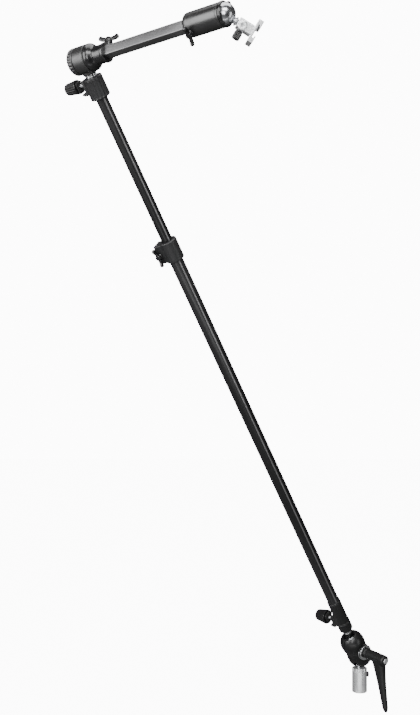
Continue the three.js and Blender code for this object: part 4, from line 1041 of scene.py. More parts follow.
@dataclass
class BallJoint:
    """The two balls and their liners, the split housing, its bolt and the washers."""

    layout: Layout
    ball: float = 13.5
    ball_flat: float = 12.4
    spacing: float = 38.0
    lobe: float = 23.4
    waist: float = 21.4
    split: float = 1.6
    near_boss: float = 14.0
    near_reach: float = 19.0
    far_boss: float = 12.0
    far_reach: float = 19.5
    mouth: float = 33.0
    slot: float = 6.7
    slot_past: float = 4.2
    slot_turn: float = 10.9
    liner_wall: float = 2.2
    liner_angles: tuple[float, float] = (108.0, 140.0)
    washer: float = 14.6
    washer_thick: float = 1.8
    spacer: float = 12.4
    spacer_thick: float = 2.2
    shank: float = 4.0
    voxel: float = 0.5

    @property
    def washer_seats(self) -> tuple[float, float, float]:
        """Distances along x of the inner washer, the spacer and the outer washer."""
        first = self.near_reach + GAP
        second = first + self.washer_thick + GAP
        return first, second, second + self.spacer_thick + GAP

    @property
    def hub_seat(self) -> float:
        """Distance along x of the lever's hub."""
        return self.washer_seats[2] + self.washer_thick + GAP

    def faced_ball(self) -> Skin:
        """Returns a ball with its shank side faced flat at -z."""
        start = math.degrees(math.acos(self.ball_flat / self.ball))
        line = np.vstack([[(0, -self.ball_flat)], arc(self.ball, 0, start, 179.5, 60), [(0, self.ball)]])
        return lathe(line, 120)

    def liner(self) -> Skin:
        """Returns the friction liner, a zone of a hollow sphere."""
        low, high = self.liner_angles
        inner = self.ball + GAP
        outward = arc(inner + self.liner_wall, 0, low, high, 16)
        return lathe(np.vstack([outward, arc(inner, 0, high, low, 16)]), 96)

    def cavity(self) -> Skin:
        """Returns the hollow for a ball: a funnel at the mouth, the grip zone and room for the liner."""
        grip, room = self.ball + 2 * GAP, self.ball + self.liner_wall + 3 * GAP
        shelf = self.ball * math.sin(math.radians(self.liner_angles[0] - 90))
        rim = -self.lobe * math.cos(math.radians(self.mouth))
        wide = self.lobe * math.sin(math.radians(self.mouth))
        meet = math.degrees(math.acos(-shelf / grip))
        lift = math.degrees(math.acos(-shelf / room))
        line = np.vstack([
            [(0, rim - 2), (wide + 0.6, rim - 2)], arc(grip, 0, self.mouth, meet, 20),
            arc(room, 0, lift, 179, 20), [(0, room)],
        ])
        return lathe(line, 96)

    def outer(self) -> Skin:
        """Returns the housing's outer form: two lobes joined by a waist, about z."""
        half, waist, lobe = self.spacing / 2, self.waist, self.lobe
        rise = self.spacing / 3
        lower = np.vstack([
            arc(lobe, 0, self.mouth, 90, 20)[:-1],
            bezier((lobe, 0), (lobe, rise), (waist, rise), (waist, half), 12),
        ])
        upper = np.column_stack([lower[::-1, 0], self.spacing - lower[::-1, 1]])
        rim = lower[0, 1]
        line = np.vstack([[(0, rim)], lower, [(waist, half)], upper, [(0, self.spacing - rim)]])
        return lathe(line, 128)

    def shell(self, side: int) -> Skin:
        """Makes one half of the housing, cast with soft edges.

        Args:
            side: 1 for the half under the lever, -1 for the half under the bolt's head.

        Returns:
            The surface.
        """
        half, far = self.spacing / 2, 3 * self.lobe
        if side > 0:
            boss = rod(self.near_boss, 0, self.near_reach, 0.8)
            facing = rod(self.washer + 0.8, self.near_reach, far, 0.2)
            other = box((-far, -far, -far), (self.split / 2, far, 2 * far))
        else:
            boss = rod(self.far_boss, -self.far_reach, 0, 0.8)
            facing = rod(self.far_boss, -far, -self.far_reach, 0.2)
            other = box((-self.split / 2, -far, -far), (far, far, 2 * far))
        slot = box((-self.slot, -far, -far), (self.slot, 0, self.slot_past))
        bore = rod(self.shank + GAP, -far, far, 0.1, 48)
        cuts = [
            facing.swapped(0).moved(z=half), self.cavity(), slot.put(HERE.turned(2, self.slot_turn)),
            self.cavity().put(HERE.moved(z=self.spacing).turned(0, 180)), bore.swapped(0).moved(z=half),
            other,
        ]
        return carved(self.outer(), [boss.swapped(0).moved(z=half)], cuts, self.voxel, 5)

    def bolt(self) -> Skin:
        """Returns the clamping bolt along x: a domed head with a hexagonal recess, and its shank."""
        seat, end, key = -self.far_reach - GAP, self.hub_seat + 34, 5.0
        top = seat - 5.4
        line = rounded([
            (0, top + 2.6), (key / 2, top + 2.6), (key / 2, top + 0.5, 0.1), (key / 2 + 0.5, top, 0.2),
            (5.4, top, 1.2), (8.2, seat - 2.4, 1.6), (8.2, seat, 0.3), (self.shank, seat, 0.2),
            (self.shank, end, 0.6), (0, end),
        ])
        return lathe(dense(line, 1.2), 96, hexagon(key, top, top + 2.6, key / 2 + 0.05)).swapped(0)

    def ring(self, seat: float, radius: float, thick: float) -> Skin:
        """Makes a flat washer along x with rounded rims and a turned line on its edge.

        Args:
            seat: Distance along x of its near face.
            radius: Its outer radius.
            thick: Its thickness.

        Returns:
            The surface.
        """
        inner, mid = self.shank + GAP, seat + thick / 2
        line = rounded([
            (inner, seat, 0.15), (radius - 0.5, seat, 0.3), (radius, seat + 0.5, 0.25),
            (radius, mid - 0.15, 0.05), (radius - 0.15, mid, 0.05), (radius, mid + 0.15, 0.05),
            (radius, seat + thick - 0.5, 0.25), (radius - 0.5, seat + thick, 0.3),
            (inner, seat + thick, 0.15),
        ], ring=True)
        return lathe(line, 120).swapped(0)

    def build(self) -> None:
        """Adds the balls, liners, half shells, bolt, washers and spacer."""
        joint, bolt = self.layout.joint, self.layout.bolt
        low = self.layout.stand.moved(z=joint.origin[2])
        high = self.layout.pole.turned(0, 180)
        over = joint.moved(z=self.spacing).turned(0, 180)
        balls = (("lower", low, Body.LOWER_BALL), ("upper", high, Body.UPPER_BALL))
        for word, place, body in balls:
            add_piece(f"{word}_ball_body", self.faced_ball().put(place), STEEL, body, [f"{word}_ball"], place)
        liners = (("lower", joint, Body.LOWER_LINER), ("upper", over, Body.UPPER_LINER))
        for word, place, body in liners:
            add_piece(f"{word}_liner_cup", self.liner().put(place), NYLON, body, [f"{word}_liner"])
        for name, side in (("near", 1), ("far", -1)):
            skin = self.shell(side).put(joint)
            add_piece(f"housing_{name}_half", skin, CAST, Body.HOUSING, [f"clamp_shell_{name}"], crease=50)
        add_piece("bolt_body", self.bolt().put(bolt), ZINC, Body.HOUSING, ["clamp_bolt"], bolt.along(0))
        seats = self.washer_seats
        for k, word in ((0, "inner"), (2, "outer")):
            skin = self.ring(seats[k], self.washer, self.washer_thick).put(bolt)
            add_piece(f"washer_{word}", skin, CHROME, Body.HOUSING, [f"clamp_washer_{word}"], bolt.along(0))
        skin = self.ring(seats[1], self.spacer, self.spacer_thick).put(bolt)
        add_piece("spacer_ring", skin, NYLON, Body.HOUSING, ["clamp_spacer"])


@dataclass
class ClampLever:
    """The clamping lever: a hub along x, a long tapered arm down from it, and the release button."""

    place: Place
    hub_seat: float
    base_radius: float = 9.8
    top_radius: float = 10.35
    hub_length: float = 49.0
    arm_length: float = 100.0
    root: tuple[float, float] = (22.0, 31.0)
    tip: tuple[float, float] = (10.0, 9.0)
    arm_below: float = 18.0
    lean: float = 12.8
    button: float = 5.2
    voxel: float = 0.6

    @property
    def top(self) -> float:
        """Distance along x of the hub's outer face."""
        return self.hub_seat + self.hub_length

    def hub(self) -> Skin:
        """Returns the hub with a turned foot and a softened outer rim."""
        r, s = self.base_radius, self.hub_seat
        line = rounded([
            (0, s), (r - 0.8, s, 0.4), (r, s + 0.9, 0.5), (r, s + 2.6, 0.2), (r - 0.5, s + 3.0, 0.2),
            (r - 0.4, s + 4.2, 0.2), (r + 0.1, s + 4.8, 0.4), (self.top_radius, self.top - 3.2, 4),
            (self.top_radius - 0.3, self.top - 1.6, 1.2), (self.top_radius - 2.2, self.top, 1.0),
            (0, self.top),
        ])
        return lathe(dense(line, 1.5), 96).swapped(0)

    def arm(self) -> Skin:
        """Returns the arm as a loft of ovals.

        At a share t of its length, the oval's width and depth run from root to tip by t^0.8 and
        t^0.85, a little drawn in between, and close over the last tenth as a rounded end.
        """
        t = np.concatenate([np.linspace(0, 0.9, 46), 0.9 + 0.1 * np.sin(np.linspace(0, math.pi / 2, 16))[1:]])
        ease = np.sqrt(np.maximum(1 - np.maximum(0, (t - 0.9) / 0.1) ** 2 * 0.92, 0))
        swell = 1 - 0.1 * np.sin(math.pi * t)
        width = (self.root[0] + (self.tip[0] - self.root[0]) * t**0.8) * ease * swell
        depth = (self.root[1] + (self.tip[1] - self.root[1]) * t**0.85) * ease * swell
        angle = np.linspace(0, FULL_TURN, 72, endpoint=False)
        ca, sa = np.cos(angle), np.sin(angle)
        x = self.top - self.arm_below + math.tan(math.radians(self.lean)) * self.arm_length * t[:, None]
        x = x + depth[:, None] / 2 * np.sign(ca) * np.abs(ca) ** 0.85
        y = width[:, None] / 2 * np.sign(sa) * np.abs(sa) ** 0.85
        z = np.broadcast_to(-self.arm_length * t[:, None], x.shape)
        return woven(np.stack([x, y, z], axis=-1)[::-1], first=True, last=True)

    def release(self) -> Skin:
        """Returns the release button with a shallow dish in its face."""
        foot, r, proud = self.top - 4, self.button, 1.4
        line = rounded([
            (0, foot), (r, foot, 0.2), (r, self.top + proud - 0.6, 0.5), (r - 0.7, self.top + proud, 0.4),
            (r - 1.5, self.top + proud, 0.3), (r - 2.1, self.top + proud - 0.3, 0.5),
            (0, self.top + proud - 0.4),
        ])
        return lathe(dense(line, 0.8), 96).swapped(0)

    def build(self) -> None:
        """Adds the lever and its button."""
        well = rod(self.button + GAP, self.top - 8, self.top + 4, 0.1, 72).swapped(0)
        skin = carved(self.hub(), [self.arm()], [well], self.voxel, 5)
        add_piece("lever_casting", skin.put(self.place), LEVER_COAT, Body.LEVER, ["clamp_lever"], crease=55)
        button = self.release().put(self.place)
        add_piece("release_button", button, SATIN_CHROME, Body.RELEASE, ["lever_button"], self.place.along(0))


# Pole


@dataclass
class Pole:
    """The stud, the two grooved tubes, the caps with their fixed jaws and the collar between them."""

    layout: Layout
    outer_radius: float = 11.0
    outer_span: tuple[float, float] = (56.3, 872.0)
    inner_radius: float = 8.8
    inner_span: tuple[float, float] = (430.0, 1152.0)
    wall: float = 1.3
    groove_width: float = 5.2
    groove_depth: float = 0.65
    groove_angle: float = -31.5
    bottom_span: tuple[float, float] = (37.0, 112.0)
    top_span: tuple[float, float] = (1134.0, 1166.2)
    flutes: int = 18
    stud_radii: tuple[float, float, float] = (4.4, 7.6, 6.0)
    stud_stations: tuple[float, float, float] = (27.1, 36.5, 53.5)
    flare: float = 13.3
    sleeve: float = 12.4
    bottom_bore: float = 6.3
    flute_depth: float = 0.6
    top_radius: float = 15.0
    top_bore: float = 5.3
    top_depth: float = 13.9
    top_flute_depth: float = 0.9
    collar_span: tuple[float, float] = (860.0, 895.0)
    collar_radius: float = 14.6
    collar_rim: float = 13.4
    collar_step: float = 872.3
    lug_reach: float = 21.5
    lug_sides: tuple[float, float] = (7.2, 13.0)
    lug_taper: float = 1.6
    screw_place: tuple[float, float] = (16.5, 876.0)
    screw_bore: float = 3.1
    nut_side: float = 10.5
    slit: float = 2.2
    plug: float = 7.3

    def grooved(self, radius: float, span: tuple[float, float]) -> Skin:
        """Makes a tube with a shallow channel along it.

        Args:
            radius: Outer radius.
            span: Heights of its two ends.

        Returns:
            The surface.
        """
        half = math.asin(self.groove_width / 2 / radius)
        angle = math.radians(self.groove_angle) + np.linspace(half, FULL_TURN - half, 181)
        rim = np.column_stack([radius * np.cos(angle), radius * np.sin(angle)])
        floor = radius - self.groove_depth
        side = math.asin((self.groove_width / 2 - 0.15) / floor)
        low = math.radians(self.groove_angle) + np.linspace(-side, side, 9)
        outline = np.vstack([rim, np.column_stack([floor * np.cos(low), floor * np.sin(low)])])
        turn = np.arctan2(outline[:, 1], outline[:, 0])
        hole = (radius - self.wall) * np.column_stack([np.cos(turn), np.sin(turn)])
        return tube(outline, hole, *span, stations=4)

    def groove_strip(self, radius: float, span: tuple[float, float]) -> Skin:
        """Makes the painted highlight on the channel's floor: a thin strip with a curved face, of a lighter
        metal than the tube, that stands in for the line of reflected light along the groove.

        Args:
            radius: The tube's outer radius.
            span: Heights of its two ends.

        Returns:
            The surface.
        """
        floor = radius - self.groove_depth
        half = math.asin(self.groove_width * 0.3 / floor)
        angle = math.radians(self.groove_angle) + np.linspace(-half, half, 9)
        crown = floor - 0.05 + 0.27 * np.cos(np.linspace(-math.pi / 2, math.pi / 2, 9))
        top = np.column_stack([crown * np.cos(angle), crown * np.sin(angle)])
        under = (floor - 0.3) * np.column_stack([np.cos(angle), np.sin(angle)])[::-1]
        return prism(np.vstack([top, under]), *span, edge=0.02, steps=1)

    def stud(self) -> Skin:
        """Returns the stud from the upper ball into the pole: a neck, a collar with a turned line, a shank."""
        ledge, collar, shank = self.stud_radii
        neck_end, collar_end, shank_end = self.stud_stations
        line = rounded([
            (0, -4.5), (3.0, -4.5), (3.0, 12.7, 0.1), (ledge - 0.4, 12.7, 0.2), (ledge, 14, 0.6),
            (ledge, neck_end - 1.6, 0.8), (ledge + 0.8, neck_end, 0.4), (collar - 0.9, neck_end, 0.3),
            (collar, neck_end + 1.1, 0.4), (collar, neck_end + 2.6, 0.1),
            (collar - 0.3, neck_end + 2.8, 0.1), (collar - 0.3, neck_end + 3.3, 0.1),
            (collar, neck_end + 3.5, 0.1), (collar, collar_end - 1.0, 0.5), (collar - 0.8, collar_end, 0.3),
            (shank, collar_end, 0.1), (shank, shank_end, 0.6), (0, shank_end),
        ])
        return lathe(dense(line, 1.2), 96)

    def bottom_cap(self) -> Skin:
        """Returns the bottom cap's turned body: a fluted flare, a ring and a long plain sleeve."""
        low, high = self.bottom_span
        flared, plain, bore = self.flare, self.sleeve, self.outer_radius + GAP
        floor = self.outer_span[0] - GAP
        line = rounded([
            (self.bottom_bore, low, 0.2), (flared - 2.0, low, 0.6), (flared, low + 1.4, 0.8),
            (flared, low + 19.2, 0.2), (flared - 0.5, low + 19.5, 0.1), (flared - 0.5, low + 20.1, 0.1),
            (flared, low + 20.4, 0.2), (flared, low + 21.6, 0.4), (plain, low + 22.6, 0.5),
            (plain, high - 3.4, 0.15), (plain - 0.25, high - 3.2, 0.1), (plain - 0.25, high - 2.6, 0.1),
            (plain, high - 2.4, 0.15), (plain, high - 0.8, 0.4), (plain - 0.8, high, 0.25),
            (bore, high, 0.1), (bore, floor, 0.2), (self.bottom_bore, floor, 0.2),
        ], ring=True)
        flutes = self.fluted(flared, self.flute_depth, low + 1.2, low + 19.4)
        return lathe(dense(line, 1.4, ring=True), 216, flutes)

    def fluted(self, radius: float, depth: float, low: float, high: float) -> Relief:
        """Returns a grip's relief: a dip of depth times cos^2(flutes t / 2) on radii near the given one."""
        groove = ribs(self.flutes, depth, low, high, 1.6)
        return lambda t, r, h: np.where(r > radius - 1.2, groove(t, r, h), r)

    def top_cap(self) -> Skin:
        """Returns the top cap's turned body: flutes over most of its length and a bored top."""
        low, high = self.top_span
        r, bore, hole, ledge = self.top_radius, self.inner_radius + GAP, self.top_bore, high - self.top_depth
        line = rounded([
            (bore, low, 0.1), (r - 1.6, low, 0.5), (r, low + 1.4, 0.8), (r, high - 3.0, 0.4),
            (r - 0.5, high - 2.7, 0.2), (r - 0.5, high - 2.0, 0.2), (r, high - 1.7, 0.2),
            (r, high - 1.2, 0.4), (r - 1.2, high, 0.5), (hole, high, 0.2), (hole, ledge, 0.1),
            (bore, ledge, 0.1),
        ], ring=True)
        flutes = self.fluted(r, self.top_flute_depth, low + 1.3, high - 3.0)
        return lathe(dense(line, 1.4, ring=True), 216, flutes)

    def collar(self) -> Skin:
        """Returns the collar: a ring round both tubes with two lugs, slit and bored for its screw."""
        (low, high), (back, front) = self.collar_span, self.lug_sides
        r, rim, reach, taper = self.collar_radius, self.collar_rim, self.lug_reach, self.lug_taper
        ring = lathe(dense(rounded([
            (0, low), (rim, low, 0.5), (r, low + 1.2, 0.6), (r, high - 1.2, 0.6), (rim, high, 0.5),
            (0, high),
        ]), 2), 96)
        outline = rounded([
            (0, -back), (reach - taper, -back, 1), (reach, -back + taper, 1), (reach, front - taper, 1),
            (reach - taper, front, 1), (0, front),
        ], ring=True)
        lugs = prism(outline, low + 2, high - 2, 1.0)
        screw = HERE.moved(self.screw_place[0], 0, self.screw_place[1])
        spot = prism(rectangle(self.nut_side, self.nut_side, 1), back, back + 12, 0.1, 1)
        cuts = [
            rod(self.inner_radius + GAP, low - 5, high + 5, 0.1),
            rod(self.outer_radius + GAP, low - 5, self.collar_step, 0.1),
            box((0, -self.slit / 2, low - 5), (reach + 5, self.slit / 2, high + 5)),
            rod(self.screw_bore, -30, 30, 0.1, 48).swapped(1).put(screw),
            spot.swapped(1).mirrored(1).put(screw),
        ]
        return carved(ring, [lugs], cuts, 0.5, 4)

    def bush(self) -> Skin:
        """Returns the guide bush on the inner tube's hidden end."""
        bore, plug, seat = self.outer_radius - self.wall - 0.35, self.plug, self.inner_span[0] - GAP
        line = rounded([
            (0, seat - 12), (bore, seat - 12, 0.6), (bore, seat, 0.4), (plug, seat, 0.2),
            (plug, seat + 14, 0.6), (0, seat + 14),
        ])
        return lathe(dense(line, 2), 72)

    def build(self) -> None:
        """Adds the pole's pieces but for the clips."""
        pole = self.layout.pole
        add_piece("pole_stud_body", self.stud().put(pole), CHROME, Body.POLE, ["pole_stud"], pole)
        tubes = (
            ("outer", self.outer_radius, self.outer_span, Body.POLE),
            ("inner", self.inner_radius, self.inner_span, Body.EXTENSION),
        )
        for word, radius, span, body in tubes:
            skin = self.grooved(radius, span).put(pole)
            add_piece(f"{word}_tube_body", skin, ANODISED, body, [f"{word}_tube"], pole, crease=24)
            # The lighter strip on the channel's floor is a painted highlight: it stands in for the line of
            # reflected light along the groove.
            highlight_line = self.groove_strip(radius, (span[0] + 0.5, span[1] - 0.5)).put(pole)
            add_piece(f"{word}_tube_painted_highlight", highlight_line, GROOVE_HIGHLIGHT, body, (), pole)
        collar = self.collar().put(self.layout.collar)
        add_piece("collar_casting", collar, NYLON, Body.POLE, ["pole_collar"], crease=50)
        add_piece("guide_bush", self.bush().put(pole), NYLON, Body.EXTENSION, ["inner_tube_bush"])
        dress_node("collar_nut", ZINC)


# Reflector clips


@dataclass
class ReflectorClip:
    """A screw clip for a reflector's rim: a fixed jaw on its cap, a moving jaw, pads, screw and knob."""

    which: Clip
    place: Place
    cap: Skin
    cap_finish: Finish
    width: float = 17.0
    above: float = 10.0
    below: float = 15.0
    face: float = 22.6
    gap: float = 9.0
    plate: float = 2.0
    pad: float = 1.2
    pad_inset: float = 1.6
    claw_depth: float = 6.4
    claw: float = 4.6
    screw: float = 3.0
    screw_depth: float = 9.0
    knob_length: float = 24.0
    knob_inner: float = 14.0
    knob_outer: float = 10.4
    knob_neck: float = 6.5
    knob_ribs: int = 16
    rib_depth: float = 0.8
    jaw_root: float = -6.0
    knob_edge: float = 1.5
    knob_neck_length: float = 1.0

    @property
    def knob_seat(self) -> float:
        """Distance along x of the knob's seat, negative."""
        return -self.face - self.gap - self.plate - self.pad - GAP

    def fixed_jaw(self) -> Skin:
        """Returns the arm of the fixed jaw: a plate with a hooked lower edge, carried across y."""
        face, foot, root, claw = -self.face + self.pad + GAP, -self.below, self.jaw_root, self.claw
        hook, deep = -self.face - self.claw_depth, self.claw_depth
        line = np.vstack([
            rounded([(root, foot + 1.6 * claw), (root, self.above - 0.5), (face, self.above, 1.2)])[:, :2],
            [(face, foot + claw)],
            self.curve(
                (face, foot + claw), (face - self.pad, foot + claw / 2), (hook + self.pad_inset, foot + claw)
            ),
            self.curve(
                (hook, foot + 0.7 * claw), (hook + deep / 2, foot - 0.3 * claw), (face + deep / 2, foot)
            ),
            self.curve((face + deep / 2, foot), (face + deep, foot + claw), (root, foot + 1.6 * claw))[:-1],
        ])
        keep = np.linalg.norm(line - np.roll(line, 1, 0), axis=1) > 0.02
        return prism(line[keep], -self.width / 2, self.width / 2, 0.7, 3).laid()

    @staticmethod
    def curve(a: Point, b: Point, c: Point, steps: int = 8) -> np.ndarray:
        """Points of the square blend from a by b to c, both ends included."""
        t = np.linspace(0, 1, steps + 1)[:, None]
        return (1 - t) ** 2 * a + 2 * t * (1 - t) * b + t**2 * c

    def standing(self, outline: np.ndarray, back: float, front: float, edge: float) -> Skin:
        """Returns a plate from an outline in y and z, carried along x with rounded rims."""
        return prism(outline, back, front, edge).swapped(0)

    def moving_jaw(self) -> Skin:
        """Returns the moving jaw: a plate with round corners and a thicker lower lip."""
        face = -self.face - self.gap - self.pad - GAP
        back = face + GAP - self.plate
        foot = -self.below + self.claw + self.pad_inset
        low = foot - self.pad_inset + GAP
        plate = rectangle(self.width, self.above - low, self.width / 4, 0, (self.above + low) / 2)
        lip = rectangle(self.width - 2 * self.pad_inset, self.pad_inset, 0.6, 0, foot)
        hole = rod(self.screw + GAP, back - 5, face + 5, 0.1).swapped(0)
        joins = [self.standing(lip, back, face + self.pad, 0.4)]
        return carved(self.standing(plate, back, face, 0.5), joins, [hole])

    def pad_at(self, start: float) -> Skin:
        """Makes a plain rubber pad with the screw's hole.

        Args:
            start: Distance along x of its back.

        Returns:
            The surface.
        """
        low, high = -self.below + self.claw + 2 * self.pad_inset, self.above - self.pad_inset
        outline = rectangle(self.width - 2 * self.pad_inset, high - low, 1.2, 0, (low + high) / 2)
        hole = rod(self.screw + 2 * GAP, start - 5, start + 5, 0.1).swapped(0)
        return carved(self.standing(outline, start, start + self.pad, 0.3), [], [hole])

    def threaded_screw(self) -> Skin:
        """Returns the clip's screw with its thread."""
        tip = -self.face + self.pad + self.screw_depth / 3
        start = self.knob_seat - 1 - self.knob_length / 2
        line = dense(rounded([(0, start), (self.screw, start, 0.4), (self.screw, tip, 0.8), (0, tip)]), 0.22)
        return lathe(line, 48, thread(1.0, 0.42, start + 1, tip - 0.2)).swapped(0)

    def knob(self) -> Skin:
        """Returns the knob: a neck, then a cone with ribs along it and a soft outer end."""
        neck, neck_end, length = self.knob_neck, self.knob_neck_length, self.knob_length
        share = np.array([0, 0.004, 0.02, 0.06, 0.12, 0.3, 0.5, 0.7, 0.86, 0.92, 0.96, 0.985, 1.0])
        size = np.array([0.86, 0.93, 0.975, 1, 1, 1, 1, 1, 1, 0.985, 0.94, 0.88, 0.8])
        radius = (self.knob_inner + (self.knob_outer - self.knob_inner) * share) * size
        side = np.column_stack([radius, neck_end + length * share])
        end = neck_end + length
        flat = self.knob_outer * 0.8
        cap = arc(flat, 0, 90, 180, 8)[1:]
        cap = np.column_stack([cap[:, 0], end + cap[:, 1] / flat * self.knob_edge / 2])
        line = np.vstack([[(0, 0), (neck - 0.3, 0), (neck, 0.3), (neck, neck_end - 0.02)], side, cap])
        groove = ribs(self.knob_ribs, self.rib_depth, neck_end + 0.4, end - 1.0, 2.6, 2.5)
        skin = lathe(dense(line, 1.0), 256, lambda t, r, h: np.where(r > neck + 0.5, groove(t, r, h), r))
        return skin.mirrored(2).swapped(0).moved(x=self.knob_seat)

    def build(self) -> None:
        """Adds the cap with its fixed jaw, and the clip's own pieces."""
        word, bottom = self.which.value, self.which is Clip.BOTTOM
        body = Body.POLE if bottom else Body.EXTENSION
        jaw, knob = (Body.BOTTOM_JAW, Body.BOTTOM_KNOB) if bottom else (Body.TOP_JAW, Body.TOP_KNOB)
        deep = min(-self.face + self.pad + GAP + self.screw_depth, 0)
        hole = rod(self.screw + GAP, -self.face - 3, deep, 0.1).swapped(0).put(self.place)
        cap = carved(self.cap, [self.fixed_jaw().put(self.place)], [hole])
        add_piece(f"{word}_cap_body", cap, self.cap_finish, body, [f"{word}_cap"], crease=32)
        pads = (("fixed", -self.face, body), ("moving", -self.face - self.gap - self.pad, jaw))
        for side, start, rides in pads:
            node = f"{word}_clip_{side}_pad"
            add_piece(f"{node}_rubber", self.pad_at(start).put(self.place), RUBBER, rides, [node])
        add_piece(f"{word}_jaw_plate", self.moving_jaw().put(self.place), NYLON, jaw, [f"{word}_clip_jaw"])
        along = self.place.along(0)
        screw, grip = self.threaded_screw().put(self.place), self.knob().put(self.place)
        add_piece(f"{word}_thread", screw, ZINC, knob, [f"{word}_clip_screw"], along, crease=60)
        add_piece(f"{word}_knob_grip", grip, PLASTIC, knob, [f"{word}_clip_knob"], along)


# Winged screws


@dataclass
class WingScrew:
    """A winged screw: a hub with two cast ears on a threaded stem. Its place has z out of the work."""

    name: str
    place: Place
    body: Body
    stem: float
    hub: float = 4.8
    hub_length: float = 7.4
    base: float = 5.6
    base_length: float = 2.0
    span: float = 16.3
    ear: float = 4.8
    ear_height: float = 7.0
    thickness: float = 4.6
    bevel: float = 0.8
    shank: float = 2.8
    waist: float = 3.2

    def ears(self) -> Skin:
        """Returns both ears: three cubic curves on each side, mirrored, thickest in the middle."""
        h, b, s, e, up, w = self.hub, self.base_length, self.span, self.ear, self.ear_height, self.bevel
        x = s - e
        right = np.vstack([
            bezier((0.6 * h, b), (h, b), (x, 0.8 * b), (s - w, up - 0.4 * e), 14),
            bezier((s - w, up - 0.4 * e), (s + w, up + 0.5 * e), (x + w, up + e), (x - w, up + 0.6 * e), 16),
            bezier((x - w, up + 0.6 * e), (x - 0.6 * e, up + w), (0.8 * h, self.hub_length),
                   (0, self.hub_length - 0.3 * self.waist), 14),
        ])
        left = right[::-1] * np.array([-1, 1])
        outline = np.vstack([right, [(0, self.hub_length - 0.3 * self.waist)], left])
        return prism(outline, -self.thickness / 2, self.thickness / 2, 1.5, 6).laid()

    def hub_skin(self) -> Skin:
        """Returns the hub: a turned base, a soft shoulder and a dished top."""
        line = rounded([
            (0, GAP), (self.base - 0.3, GAP, 0.2), (self.base, GAP + 0.3, 0.2),
            (self.base, self.base_length, 0.5), (self.hub, self.base_length + 0.8, 0.8),
            (self.hub - 0.3, self.hub_length - 0.9, 0.8), (self.hub - 1.2, self.hub_length, 0.6),
            (0, self.hub_length),
        ])
        return lathe(dense(line, 0.8), 64)

    def stem_skin(self) -> Skin:
        """Returns the threaded stem below the hub."""
        line = dense(rounded([
            (0, -self.stem), (self.shank, -self.stem, 0.5), (self.shank, self.base_length),
            (0, self.base_length),
        ]), 0.22)
        return lathe(line, 48, thread(1.0, 0.4, -self.stem + 0.3, 0.3))

    def build(self) -> None:
        """Adds the cast wings and the stem."""
        cast = carved(self.hub_skin(), [self.ears()], [], 0.28, 6).put(self.place)
        stem = self.stem_skin().put(self.place)
        add_piece(f"{self.name}_wings", cast, ENAMEL, self.body, [self.name], crease=60)
        add_piece(f"{self.name}_stem", stem, ZINC, self.body, (), self.place, crease=60)


# Elbow, sleeve and square arm


